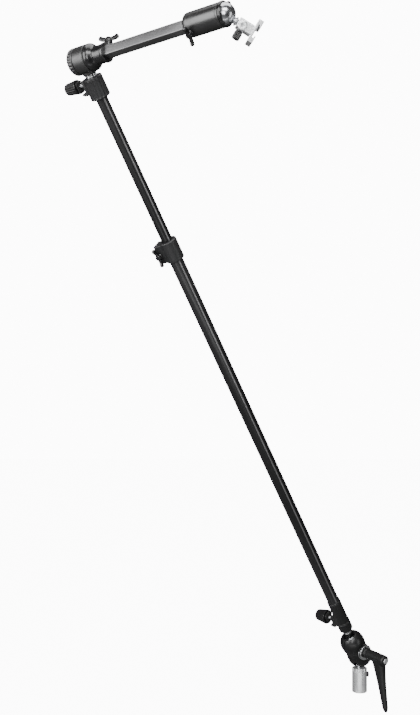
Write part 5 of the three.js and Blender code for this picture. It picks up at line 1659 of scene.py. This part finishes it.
@dataclass
class Elbow:
    """The elbow: a stud and washer on the pole's cap, a drum with a foot, a clamp knob and a disc."""

    layout: Layout
    radius: float = 19.7
    knob_end: float = -16.0
    knob_start: float = -8.0
    dome: float = 4.2
    drum_end: float = 12.0
    foot: float = 11.0
    foot_drop: float = 21.0
    ribs: int = 24
    rib_depth: float = 0.8
    stud_span: tuple[float, float] = (1150.2, 1183.7)
    stud_radius: float = 5.0
    washer_span: tuple[float, float] = (1166.5, 1170.7)
    washer_radii: tuple[float, float, float] = (5.3, 9.0, 8.2)
    disc_radii: tuple[float, float] = (4.3, 18.4)
    disc_thick: float = 1.2
    bore: float = 5.3

    def drum(self) -> Skin:
        """Returns the drum with its foot."""
        start, end, r = self.knob_start + GAP, self.drum_end, self.radius
        line = rounded([
            (0, start), (r - 0.9, start, 0.4), (r, start + 0.9, 0.5), (r, end - 2.2, 0.1),
            (r - 0.3, end - 2.0, 0.1), (r - 0.3, end - 1.4, 0.1), (r, end - 1.2, 0.1), (r, end - 0.5, 0.3),
            (r - 0.5, end, 0.3), (0, end),
        ])
        body = lathe(dense(line, 2), 160).swapped(0)
        low = -self.foot_drop
        foot = lathe(dense(rounded([
            (0, low), (self.foot - 0.8, low, 0.4), (self.foot, low + 0.8, 0.5), (self.foot, -4, 0), (0, -4),
        ]), 2), 96)
        keep = box((start - 30, -30, -60), (start + 0.9, 30, 30))
        past = box((end - 0.9, -30, -60), (end + 30, 30, 30))
        bore = rod(self.bore, low - 5, low + 13, 0.1, 64)
        foot = carved(foot, [], [keep, past])
        return carved(body, [foot], [bore], 0.45, 3)

    def knob(self) -> Skin:
        """Returns the domed clamp knob with fine ribs round its outer edge."""
        end, start, r = -self.knob_start, -self.knob_end, self.radius
        turn = np.linspace(0, 1, 28) * math.pi / 2
        domed = np.column_stack([(r - 0.6) * np.cos(turn), start + self.dome * np.sin(turn)])
        line = np.vstack([
            rounded([
                (0, end), (r - 0.7, end, 0.3), (r, end + 0.7, 0.4), (r, start - 1.2, 0.4),
                (r - 0.4, start - 0.3),
            ]),
            domed[1:-1], [(0, start + self.dome)],
        ])
        groove = ribs(self.ribs, self.rib_depth, start - 7.2, start + 2.2, 1.2, 2.0)
        skin = lathe(dense(line, 0.8), 240, lambda t, q, h: np.where(q > r - 3.2, groove(t, q, h), q))
        return skin.mirrored(2).swapped(0)

    def disc(self) -> Skin:
        """Returns the friction disc between the drum and the sleeve."""
        (bore, r), seat = self.disc_radii, self.drum_end + GAP
        end = seat + self.disc_thick
        line = rounded([(bore, seat), (r, seat, 0.3), (r, end, 0.3), (bore, end)], ring=True)
        return lathe(line, 120).swapped(0)

    def washer(self) -> Skin:
        """Returns the spacing washer: two rims with a waist between them."""
        (low, high), (bore, r, waist) = self.washer_span, self.washer_radii
        line = rounded([
            (bore, low), (r, low, 0.4), (r, low + 1.4, 0.3), (waist, low + 1.8, 0.2),
            (waist, high - 1.8, 0.2), (r, high - 1.4, 0.3), (r, high, 0.4), (bore, high),
        ], ring=True)
        return lathe(dense(line, 1, ring=True), 96)

    def build(self) -> None:
        """Adds the elbow's pieces."""
        pole, elbow = self.layout.pole, self.layout.elbow
        along = elbow.along(0)
        stud = rod(self.stud_radius, *self.stud_span, 0.6).put(pole)
        add_piece("elbow_stud", stud, CHROME, Body.EXTENSION, ["top_stud"], pole)
        add_piece("elbow_washer", self.washer().put(pole), CHROME, Body.EXTENSION, ["stud_washer"], pole)
        drum, knob = self.drum().put(elbow), self.knob().put(elbow)
        add_piece("elbow_drum_body", drum, DRUM_COAT, Body.ELBOW, ["elbow_drum"], along, crease=50)
        add_piece("elbow_knob_body", knob, DRUM_COAT, Body.ELBOW_KNOB, ["elbow_knob"], along)
        add_piece("elbow_disc", self.disc().put(elbow), NYLON, Body.ELBOW, ["roll_friction_disc"])
        dress_node("elbow_bolt", ZINC)


@dataclass
class SquareArm:
    """The sleeve on the elbow and the square tube that slides in it."""

    layout: Layout
    side: float = 14.5
    corner: float = 1.4
    wall: float = 1.6
    inner_corner: float = 0.6
    span: tuple[float, float] = (19.8, 205.5)
    fit: float = 0.3
    seat: float = 13.8
    shoulder: float = 19.7
    shoulder_foot: float = 19.1
    bend: float = 21.845
    neck_start: float = 26.5
    stop: float = 19.5
    neck: float = 13.3
    neck_end: float = 43.0
    lip: float = 14.2
    lug: float = 6.4
    lug_reach: float = 14.8
    lug_place: float = 44.5
    screw_angle: float = 45.0
    screw_bore: float = 3.1

    def sleeve(self) -> Skin:
        """Returns the sleeve: a domed shoulder, a neck, a lip ring, a lug and the square hole."""
        wide, neck, seat, end = self.shoulder, self.neck, self.seat, self.neck_end
        lip = end - 4.4
        curve = bezier((wide, seat + 0.7), (wide, self.bend), (neck, self.bend), (neck, self.neck_start), 20)
        line = np.vstack([
            rounded([(0, seat), (self.shoulder_foot, seat, 0.3), (wide, seat + 0.6)]), curve[1:],
            rounded([
                (neck, self.neck_start), (neck, lip - 0.9, 0.1), (neck - 0.45, lip - 0.8, 0.1),
                (neck - 0.45, lip, 0.1), (self.lip, lip + 0.05, 0.3), (self.lip, end - 0.5, 0.4),
                (self.lip - 0.5, end, 0.2), (0, end),
            ]),
        ])
        body = lathe(dense(line, 1.5), 128).swapped(0)
        out = HERE.turned(0, self.screw_angle - 90).moved(self.lug_place)
        lug = lathe(dense(rounded([
            (0, 5), (self.lug, 5), (self.lug, self.lug_reach - 0.9, 0.3),
            (self.lug - 0.8, self.lug_reach, 0.3), (0, self.lug_reach),
        ]), 1.5), 72).put(out)
        opening = self.side + 2 * self.fit
        hole = prism(rectangle(opening, opening, self.corner), self.stop, end + 20, 0.01, 1).swapped(0)
        hole = hole.put(HERE.turned(0, self.layout.arm_roll))
        return carved(body, [lug], [hole, rod(self.screw_bore, 0, 20, 0.1, 32).put(out)], 0.42, 3)

    def bar(self) -> Skin:
        """Returns the square tube with rounded corners."""
        inner = self.side - 2 * self.wall
        outline = rectangle(self.side, self.side, self.corner, steps=6)
        hole = rectangle(inner, inner, self.inner_corner, steps=6)
        return tube(outline, hole, *self.span, stations=4).swapped(0)

    def build(self) -> None:
        """Adds the sleeve and the tube."""
        elbow, arm = self.layout.elbow, self.layout.arm
        add_piece("sleeve_casting", self.sleeve().put(elbow), ENAMEL, Body.SLEEVE, ["arm_sleeve"], crease=50)
        bar = self.bar().put(arm)
        add_piece("square_tube", bar, ARM_METAL, Body.ARM, ["arm_tube"], arm.along(0), crease=24)


# Ball head and shoe


@dataclass
class BallHead:
    """The head: a round housing on the square tube, a seat, a ring, and the ball with its stud."""

    layout: Layout
    arm: SquareArm
    start: float = 180.0
    end: float = 235.7
    radius: float = 16.8
    start_radius: float = 12.0
    shoulder: float = 7.0
    tube_stop: float = 206.0
    bore_start: float = 213.0
    bore: float = 15.4
    ball: float = 15.2
    ball_place: float = 237.5
    ring_radius: float = 17.3
    ring_length: float = 5.0
    clearance: float = 0.35
    cup_radius: float = 15.0
    cup_wall: float = 4.0
    cup_length: float = 12.0
    arm_screw: tuple[float, float] = (188.0, 202.0)
    ball_screw: tuple[float, float] = (224.0, 20.0)

    def housing(self) -> Skin:
        """Returns the housing: a rounded shoulder, two turned lines, a bore and a square socket."""
        r, low, high = self.radius, self.start, self.end
        t = np.linspace(0, 1, 14)[:, None]
        a, b, c = np.array([self.start_radius, low]), np.array([r, low]), np.array([r, low + self.shoulder])
        bend = (1 - t) ** 2 * a + 2 * t * (1 - t) * b + t**2 * c
        line = np.vstack([
            [(0, low)], bend,
            rounded([
                (r, low + self.shoulder + 0.5), (r, high - 3.4, 0.1), (r - 0.3, high - 3.2, 0.1),
                (r - 0.3, high - 2.7, 0.1), (r, high - 2.5, 0.1), (r, high - 0.5, 0.2),
                (r - 0.5, high, 0.2), (0, high),
            ]),
        ])
        body = lathe(dense(line, 2), 144).swapped(0)
        opening = self.arm.side + 2 * self.arm.fit
        square = prism(rectangle(opening, opening, self.arm.corner), low - 5, self.tube_stop, 0.01, 1)
        cuts = [
            square.swapped(0).put(HERE.turned(0, self.layout.arm_roll)),
            rod(self.bore, self.bore_start, high + 5, 0.1, 128).swapped(0),
        ]
        for place, angle in (self.arm_screw, self.ball_screw):
            cuts.append(rod(self.arm.screw_bore, 5, 30, 0.1, 32).put(HERE.turned(0, angle - 90).moved(place)))
        return carved(body, [], cuts)

    def ring(self) -> Skin:
        """Returns the retaining ring, bored to a ball past its middle, with a turned line."""
        low, r = self.end + GAP, self.ring_radius
        high = low + self.ring_length
        inner = self.ball + self.clearance
        inside = np.linspace(high, self.ball_place, 8)
        reach = np.sqrt(np.maximum(inner**2 - (inside - self.ball_place) ** 2, 0))
        bore = np.column_stack([reach, inside])
        line = np.vstack([
            rounded([
                (inner, low), (r - 0.7, low, 0.3), (r, low + 0.7, 0.4), (r, low + 1.8, 0.1),
                (r - 0.3, low + 2.0, 0.1), (r - 0.3, low + 2.5, 0.1), (r, low + 2.7, 0.1),
                (r, high - 1.4, 0.5), (r - 1.1, high, 0.5), (reach[0] + 0.01, high),
            ]),
            bore,
        ])
        return lathe(line, 144).swapped(0)

    def seat(self) -> Skin:
        """Returns the cup behind the ball."""
        inner, r = self.ball + self.clearance, self.cup_radius
        low = self.ball_place - self.ball - self.clearance - self.cup_wall
        high = low + self.cup_length
        angle = np.linspace(math.acos((self.ball_place - high) / inner), 0, 16)
        bowl = np.column_stack([inner * np.sin(angle), self.ball_place - inner * np.cos(angle)])
        back = rounded([(0, low), (r, low, 0.6), (r, high, 0.2), (bowl[0, 0] + 0.01, high)])
        return lathe(np.vstack([back, bowl]), 96).swapped(0)

    def ball_and_stud(self) -> Skin:
        """Returns the ball and its stud in one turned piece: neck, collar, neck and tail."""
        neck, collar = 4.4, 6.2
        meet = math.degrees(math.asin(neck / self.ball))
        line = np.vstack([
            arc(self.ball, 0, 0, 180 - meet, 72),
            rounded([
                (neck, self.ball * math.cos(math.radians(meet)) + 0.1), (neck, 16.4, 0.3),
                (collar - 0.3, 16.4, 0.2), (collar, 16.7, 0.2), (collar, 18.7, 0.2),
                (collar - 0.3, 19.0, 0.2), (neck, 19.0, 0.2), (neck, 20.1, 0.1), (3.9, 20.4, 0.1),
                (3.9, 37.1, 0.3), (0, 37.1),
            ]),
        ])
        return lathe(dense(line, 1.2), 128)

    def build(self) -> None:
        """Adds the head's pieces."""
        elbow, stud = self.layout.elbow, self.layout.stud
        along = elbow.along(0)
        housing = self.housing().put(elbow)
        add_piece("head_casting", housing, HEAD_COAT, Body.HEAD, ["head_housing"], crease=32)
        add_piece("head_collar_ring", self.ring().put(elbow), ENAMEL, Body.HEAD, ["head_ring"], along)
        add_piece("head_seat_cup", self.seat().put(elbow), NYLON, Body.HEAD, ["ball_seat"])
        add_piece("head_ball_body", self.ball_and_stud().put(stud), BALL, Body.HEAD_BALL, ["head_ball"], stud)


@dataclass
class ArmScrews:
    """The winged screws of the sleeve and of the head, by how far each goes into its work."""

    layout: Layout
    arm: SquareArm
    head: BallHead
    twists: tuple[float, float, float] = (12.0, 82.0, 6.0)
    ball_stem: float = 1.5

    @property
    def arm_touch(self) -> float:
        """Distance from the arm's middle at which the slanting screw's tip meets the tube's side."""
        slant = math.radians(180 + self.layout.arm_roll - self.head.arm_screw[1])
        return (self.arm.side / 2 + WingScrew.shank * math.sin(slant)) / math.cos(slant) + GAP

    def build(self) -> None:
        """Adds the three screws."""
        arm, head = self.arm, self.head
        sleeve_stem, head_stem = arm.lug_reach - (arm.side / 2 + GAP), head.radius - self.arm_touch
        screws = (
            ("sleeve_wing_screw", "sleeve_wing_turn", Body.SLEEVE_WING, arm.screw_angle, sleeve_stem),
            ("housing_wing_screw", "head_wing_turn", Body.HEAD_WING, head.arm_screw[1], head_stem),
            ("ball_lock_wing_screw", "ball_lock_turn", Body.BALL_LOCK, head.ball_screw[1], self.ball_stem),
        )
        for (name, turn, body, angle, stem), twist in zip(screws, self.twists, strict=True):
            WingScrew(name, self.layout.across(turn, angle, twist), body, stem).build()


@dataclass
class AccessoryShoe:
    """The shoe: a block with an eye, a railed plate and a knurled thumb screw."""

    place: Place
    block: tuple[float, float] = (20.4, 42.0)
    width: float = 14.0
    depth: float = 15.0
    corner: float = 2.0
    eye: float = 6.2
    eye_place: float = 28.0
    eye_offset: float = 2.2
    front: float = 9.5
    plate_width: float = 33.0
    plate_length: float = 24.0
    plate_low: float = 42.3
    floor: float = 45.5
    top: float = 49.6
    slot: float = 18.9
    slot_height: float = 2.3
    lip_reach: float = 3.1
    stop: float = 1.6
    thumb: float = 5.4
    thumb_seat: float = 8.7
    thumb_length: float = 11.8
    thumb_shank: float = 2.2
    stud_bore: float = 4.2

    @property
    def thumb_side(self) -> Place:
        """The eye's middle with x towards the thumb screw."""
        return HERE.moved(z=self.eye_place).turned(2, 180)

    def block_skin(self) -> Skin:
        """Returns the block with its eye, its boss and its bore."""
        low, high = self.block
        body = prism(rectangle(self.width, self.depth, self.corner), low, high, 0.7, 4)
        front = HERE.moved(-self.eye_offset, 0, self.eye_place)
        r, end = self.eye, self.front
        eye = rounded([(0, 0), (r, 0), (r, end - 0.9, 0.4), (r - 0.9, end, 0.4), (0, end)])
        hole = rounded([
            (0, end - 4), (2.4, end - 4, 0.2), (2.4, end - 0.5, 0.1), (3.0, end + 0.1), (3.0, end + 4),
            (0, end + 4),
        ])
        boss = rod(self.thumb - 0.8, 0, self.thumb_seat - GAP, 0.5).swapped(0).put(self.thumb_side)
        joins = [lathe(dense(eye, 1.5), 96).swapped(1).put(front), boss]
        cuts = [
            lathe(hole, 64).swapped(1).put(front),
            rod(self.stud_bore, low - 5, low + 17, 0.1, 48),
            rod(2.5, 0, 20, 0.1, 32).swapped(0).put(self.thumb_side),
        ]
        return carved(body, joins, cuts, 0.3, 3)

    def plate(self) -> Skin:
        """Returns the plate with its two undercut rails and the stop at its far end."""
        outline = rectangle(self.plate_width, self.plate_length, self.corner, steps=6)
        body = prism(outline, self.plate_low, self.top, 0.5, 4)
        half, gap = self.plate_length / 2, self.slot / 2 - self.lip_reach
        wide, floor = self.slot / 2, self.floor
        slot = box((-wide, -half + self.stop, floor), (wide, half + 5, floor + self.slot_height))
        way = box((-gap, -half - 5, floor), (gap, half + 5, self.top + 5))
        return carved(body, [], [slot, way], 0.28, 2)

    def thumb_screw(self) -> Skin:
        """Returns the thumb screw: a threaded shank, a plain rim and a knurled head with a dished end."""
        seat, r, shank = self.thumb_seat, self.thumb, self.thumb_shank
        end = seat + self.thumb_length
        line = rounded([
            (0, 4.2), (shank, 4.2, 0.3), (shank, seat), (r - 0.9, seat, 0.3), (r - 0.5, seat + 0.4, 0.2),
            (r - 0.5, seat + 1.3, 0.2), (r - 0.9, seat + 1.6, 0.1), (r, seat + 2.0, 0.4),
            (r, end - 1.1, 0.5), (r - 0.9, end, 0.4), (r - 1.8, end, 0.3), (r - 2.2, end - 0.5, 0.3),
            (0, end - 0.5),
        ])
        grooves = knurl(28, 3.0, 0.4, seat + 2.0, end - 1.0)
        skin = lathe(dense(line, 0.3), 224, lambda t, q, h: np.where(q > r - 0.9, grooves(t, q, h), q))
        return skin.swapped(0).put(self.thumb_side)

    def build(self) -> None:
        """Adds the shoe's pieces."""
        block, plate = self.block_skin().put(self.place), self.plate().put(self.place)
        add_piece("shoe_block_body", block, SATIN_CHROME, Body.SHOE, ["shoe_block"], self.place, crease=50)
        add_piece("shoe_plate_body", plate, SATIN_CHROME, Body.SHOE, ["shoe_plate"], self.place, crease=50)
        thumb = self.thumb_screw().put(self.place)
        along = self.place.moved(z=self.eye_place).along(0)
        add_piece("shoe_thumb_head", thumb, ENAMEL, Body.SHOE_SCREW, ["shoe_thumb_screw"], along, crease=50)


# Studio


@dataclass(frozen=True)
class Lamp:
    """A soft rectangular lamp: where it stands, its width and height, its watts and its aim."""

    name: str
    place: tuple[float, float, float]
    size: tuple[float, float]
    watts: float
    aim: tuple[float, float, float] = (-0.25, -0.3, 0.55)

    def build(self) -> None:
        """Adds the lamp, out of the camera's sight."""
        data = bpy.data.lights.new(self.name, "AREA")
        data.shape, data.size, data.size_y, data.energy = "RECTANGLE", *self.size, self.watts
        lamp = bpy.data.objects.new(self.name, data)
        lamp.location = self.place
        lamp.rotation_euler = (Vector(self.aim) - Vector(self.place)).to_track_quat("-Z", "Y").to_euler()
        lamp.visible_camera = False
        bpy.context.scene.collection.objects.link(lamp)


LAMPS = (
    Lamp("key", (-0.15, -2.3, 2.05), (1.3, 0.7), 35),
    Lamp("left", (-1.95, -1.6, 1.12), (1.0, 1.7), 42),
    Lamp("side", (-2.1, -1.0, 0.7), (0.7, 1.8), 9),
    Lamp("fill", (1.8, -1.5, 0.5), (0.6, 1.8), 9),
    Lamp("top", (-0.2, -0.4, 2.4), (1.6, 1.2), 22),
    Lamp("front", (-0.5, -2.5, 0.95), (0.9, 0.9), 18, (-0.2, -0.5, 0.8)),
    Lamp("low", (-0.1, -1.15, -0.36), (1.4, 0.4), 4, (0, 0, 0.03)),
)


@dataclass
class Studio:
    """The floor, the world and the camera, in metres, and how bright the room is and looks."""

    camera_place: tuple[float, float, float] = (-0.2899, -2.036, 0.6475)
    lens: float = 52.87
    sensor: float = 36.0
    floor_height: float = -0.42
    floor_reach: float = 9.0
    floor_tone: float = 0.22
    floor_roughness: float = 0.9
    room: float = 0.10
    backdrop: float = 12.0
    paper: float = 11.5

    def floor(self) -> None:
        """Adds a plain pale floor well below the object."""
        mesh = bpy.data.meshes.new("studio_floor")
        r, z = self.floor_reach, self.floor_height
        mesh.from_pydata([(-r, -r, z), (r, -r, z), (r, r, z), (-r, r, z)], [], [(0, 1, 2, 3)])
        plane = bpy.data.objects.new("studio_floor", mesh)
        bpy.context.scene.collection.objects.link(plane)
        made = bpy.data.materials.new("studio_paper")
        made.use_nodes = True
        graph = Graph(made.node_tree)
        graph.fill(made.node_tree.nodes["Principled BSDF"], {
            "Base Color": (self.floor_tone, self.floor_tone, self.floor_tone, 1),
            "Roughness": self.floor_roughness,
            "Emission Color": (1, 1, 1, 1),
            "Emission Strength": graph.seen_share(0.0, self.paper),
        })
        mesh.materials.append(made)

    def world(self) -> None:
        """Makes a white room that lights the object less than it shows."""
        world = bpy.data.worlds.new("studio_world")
        world.use_nodes = True
        bpy.context.scene.world = world
        graph = Graph(world.node_tree)
        strength = graph.seen_share(self.room, self.backdrop)
        graph.fill(world.node_tree.nodes["Background"], {"Color": (1, 1, 1, 1), "Strength": strength})

    def camera(self) -> None:
        """Adds the camera: level, looking along +Y."""
        data = bpy.data.cameras.new("camera")
        data.lens, data.sensor_width, data.clip_end = self.lens, self.sensor, 100
        camera = bpy.data.objects.new("camera", data)
        camera.location = self.camera_place
        camera.rotation_euler = (math.pi / 2, 0, 0)
        bpy.context.scene.collection.objects.link(camera)
        bpy.context.scene.camera = camera

    def build(self) -> None:
        """Adds everything of the studio."""
        self.camera()
        self.floor()
        self.world()
        for lamp in LAMPS:
            lamp.build()


def main() -> None:
    """Builds the camera and the studio first, then each sub-assembly."""
    logging.basicConfig(level=logging.INFO, format="%(message)s")
    layout = Layout()
    Studio().build()
    StandSocket(layout.stand).build()
    joint = BallJoint(layout)
    joint.build()
    ClampLever(layout.lever, joint.hub_seat).build()
    pole = Pole(layout)
    pole.build()
    bottom, top = pole.bottom_cap().put(layout.pole), pole.top_cap().put(layout.pole)
    ReflectorClip(Clip.BOTTOM, layout.clip(Clip.BOTTOM), bottom, PLASTIC).build()
    ReflectorClip(
        Clip.TOP, layout.clip(Clip.TOP), top, NYLON, width=15, above=7.5, face=18, gap=6.2,
        knob_length=21.4, knob_inner=10.8, knob_outer=8.6, knob_neck=5.5, screw_depth=6.5,
    ).build()
    WingScrew("collar_wing_screw", layout.collar_screw, Body.COLLAR_WING, stem=24.1).build()
    Elbow(layout).build()
    arm = SquareArm(layout)
    arm.build()
    head = BallHead(layout, arm)
    head.build()
    ArmScrews(layout, arm, head).build()
    AccessoryShoe(layout.stud).build()


if __name__ == "__main__":
    main()
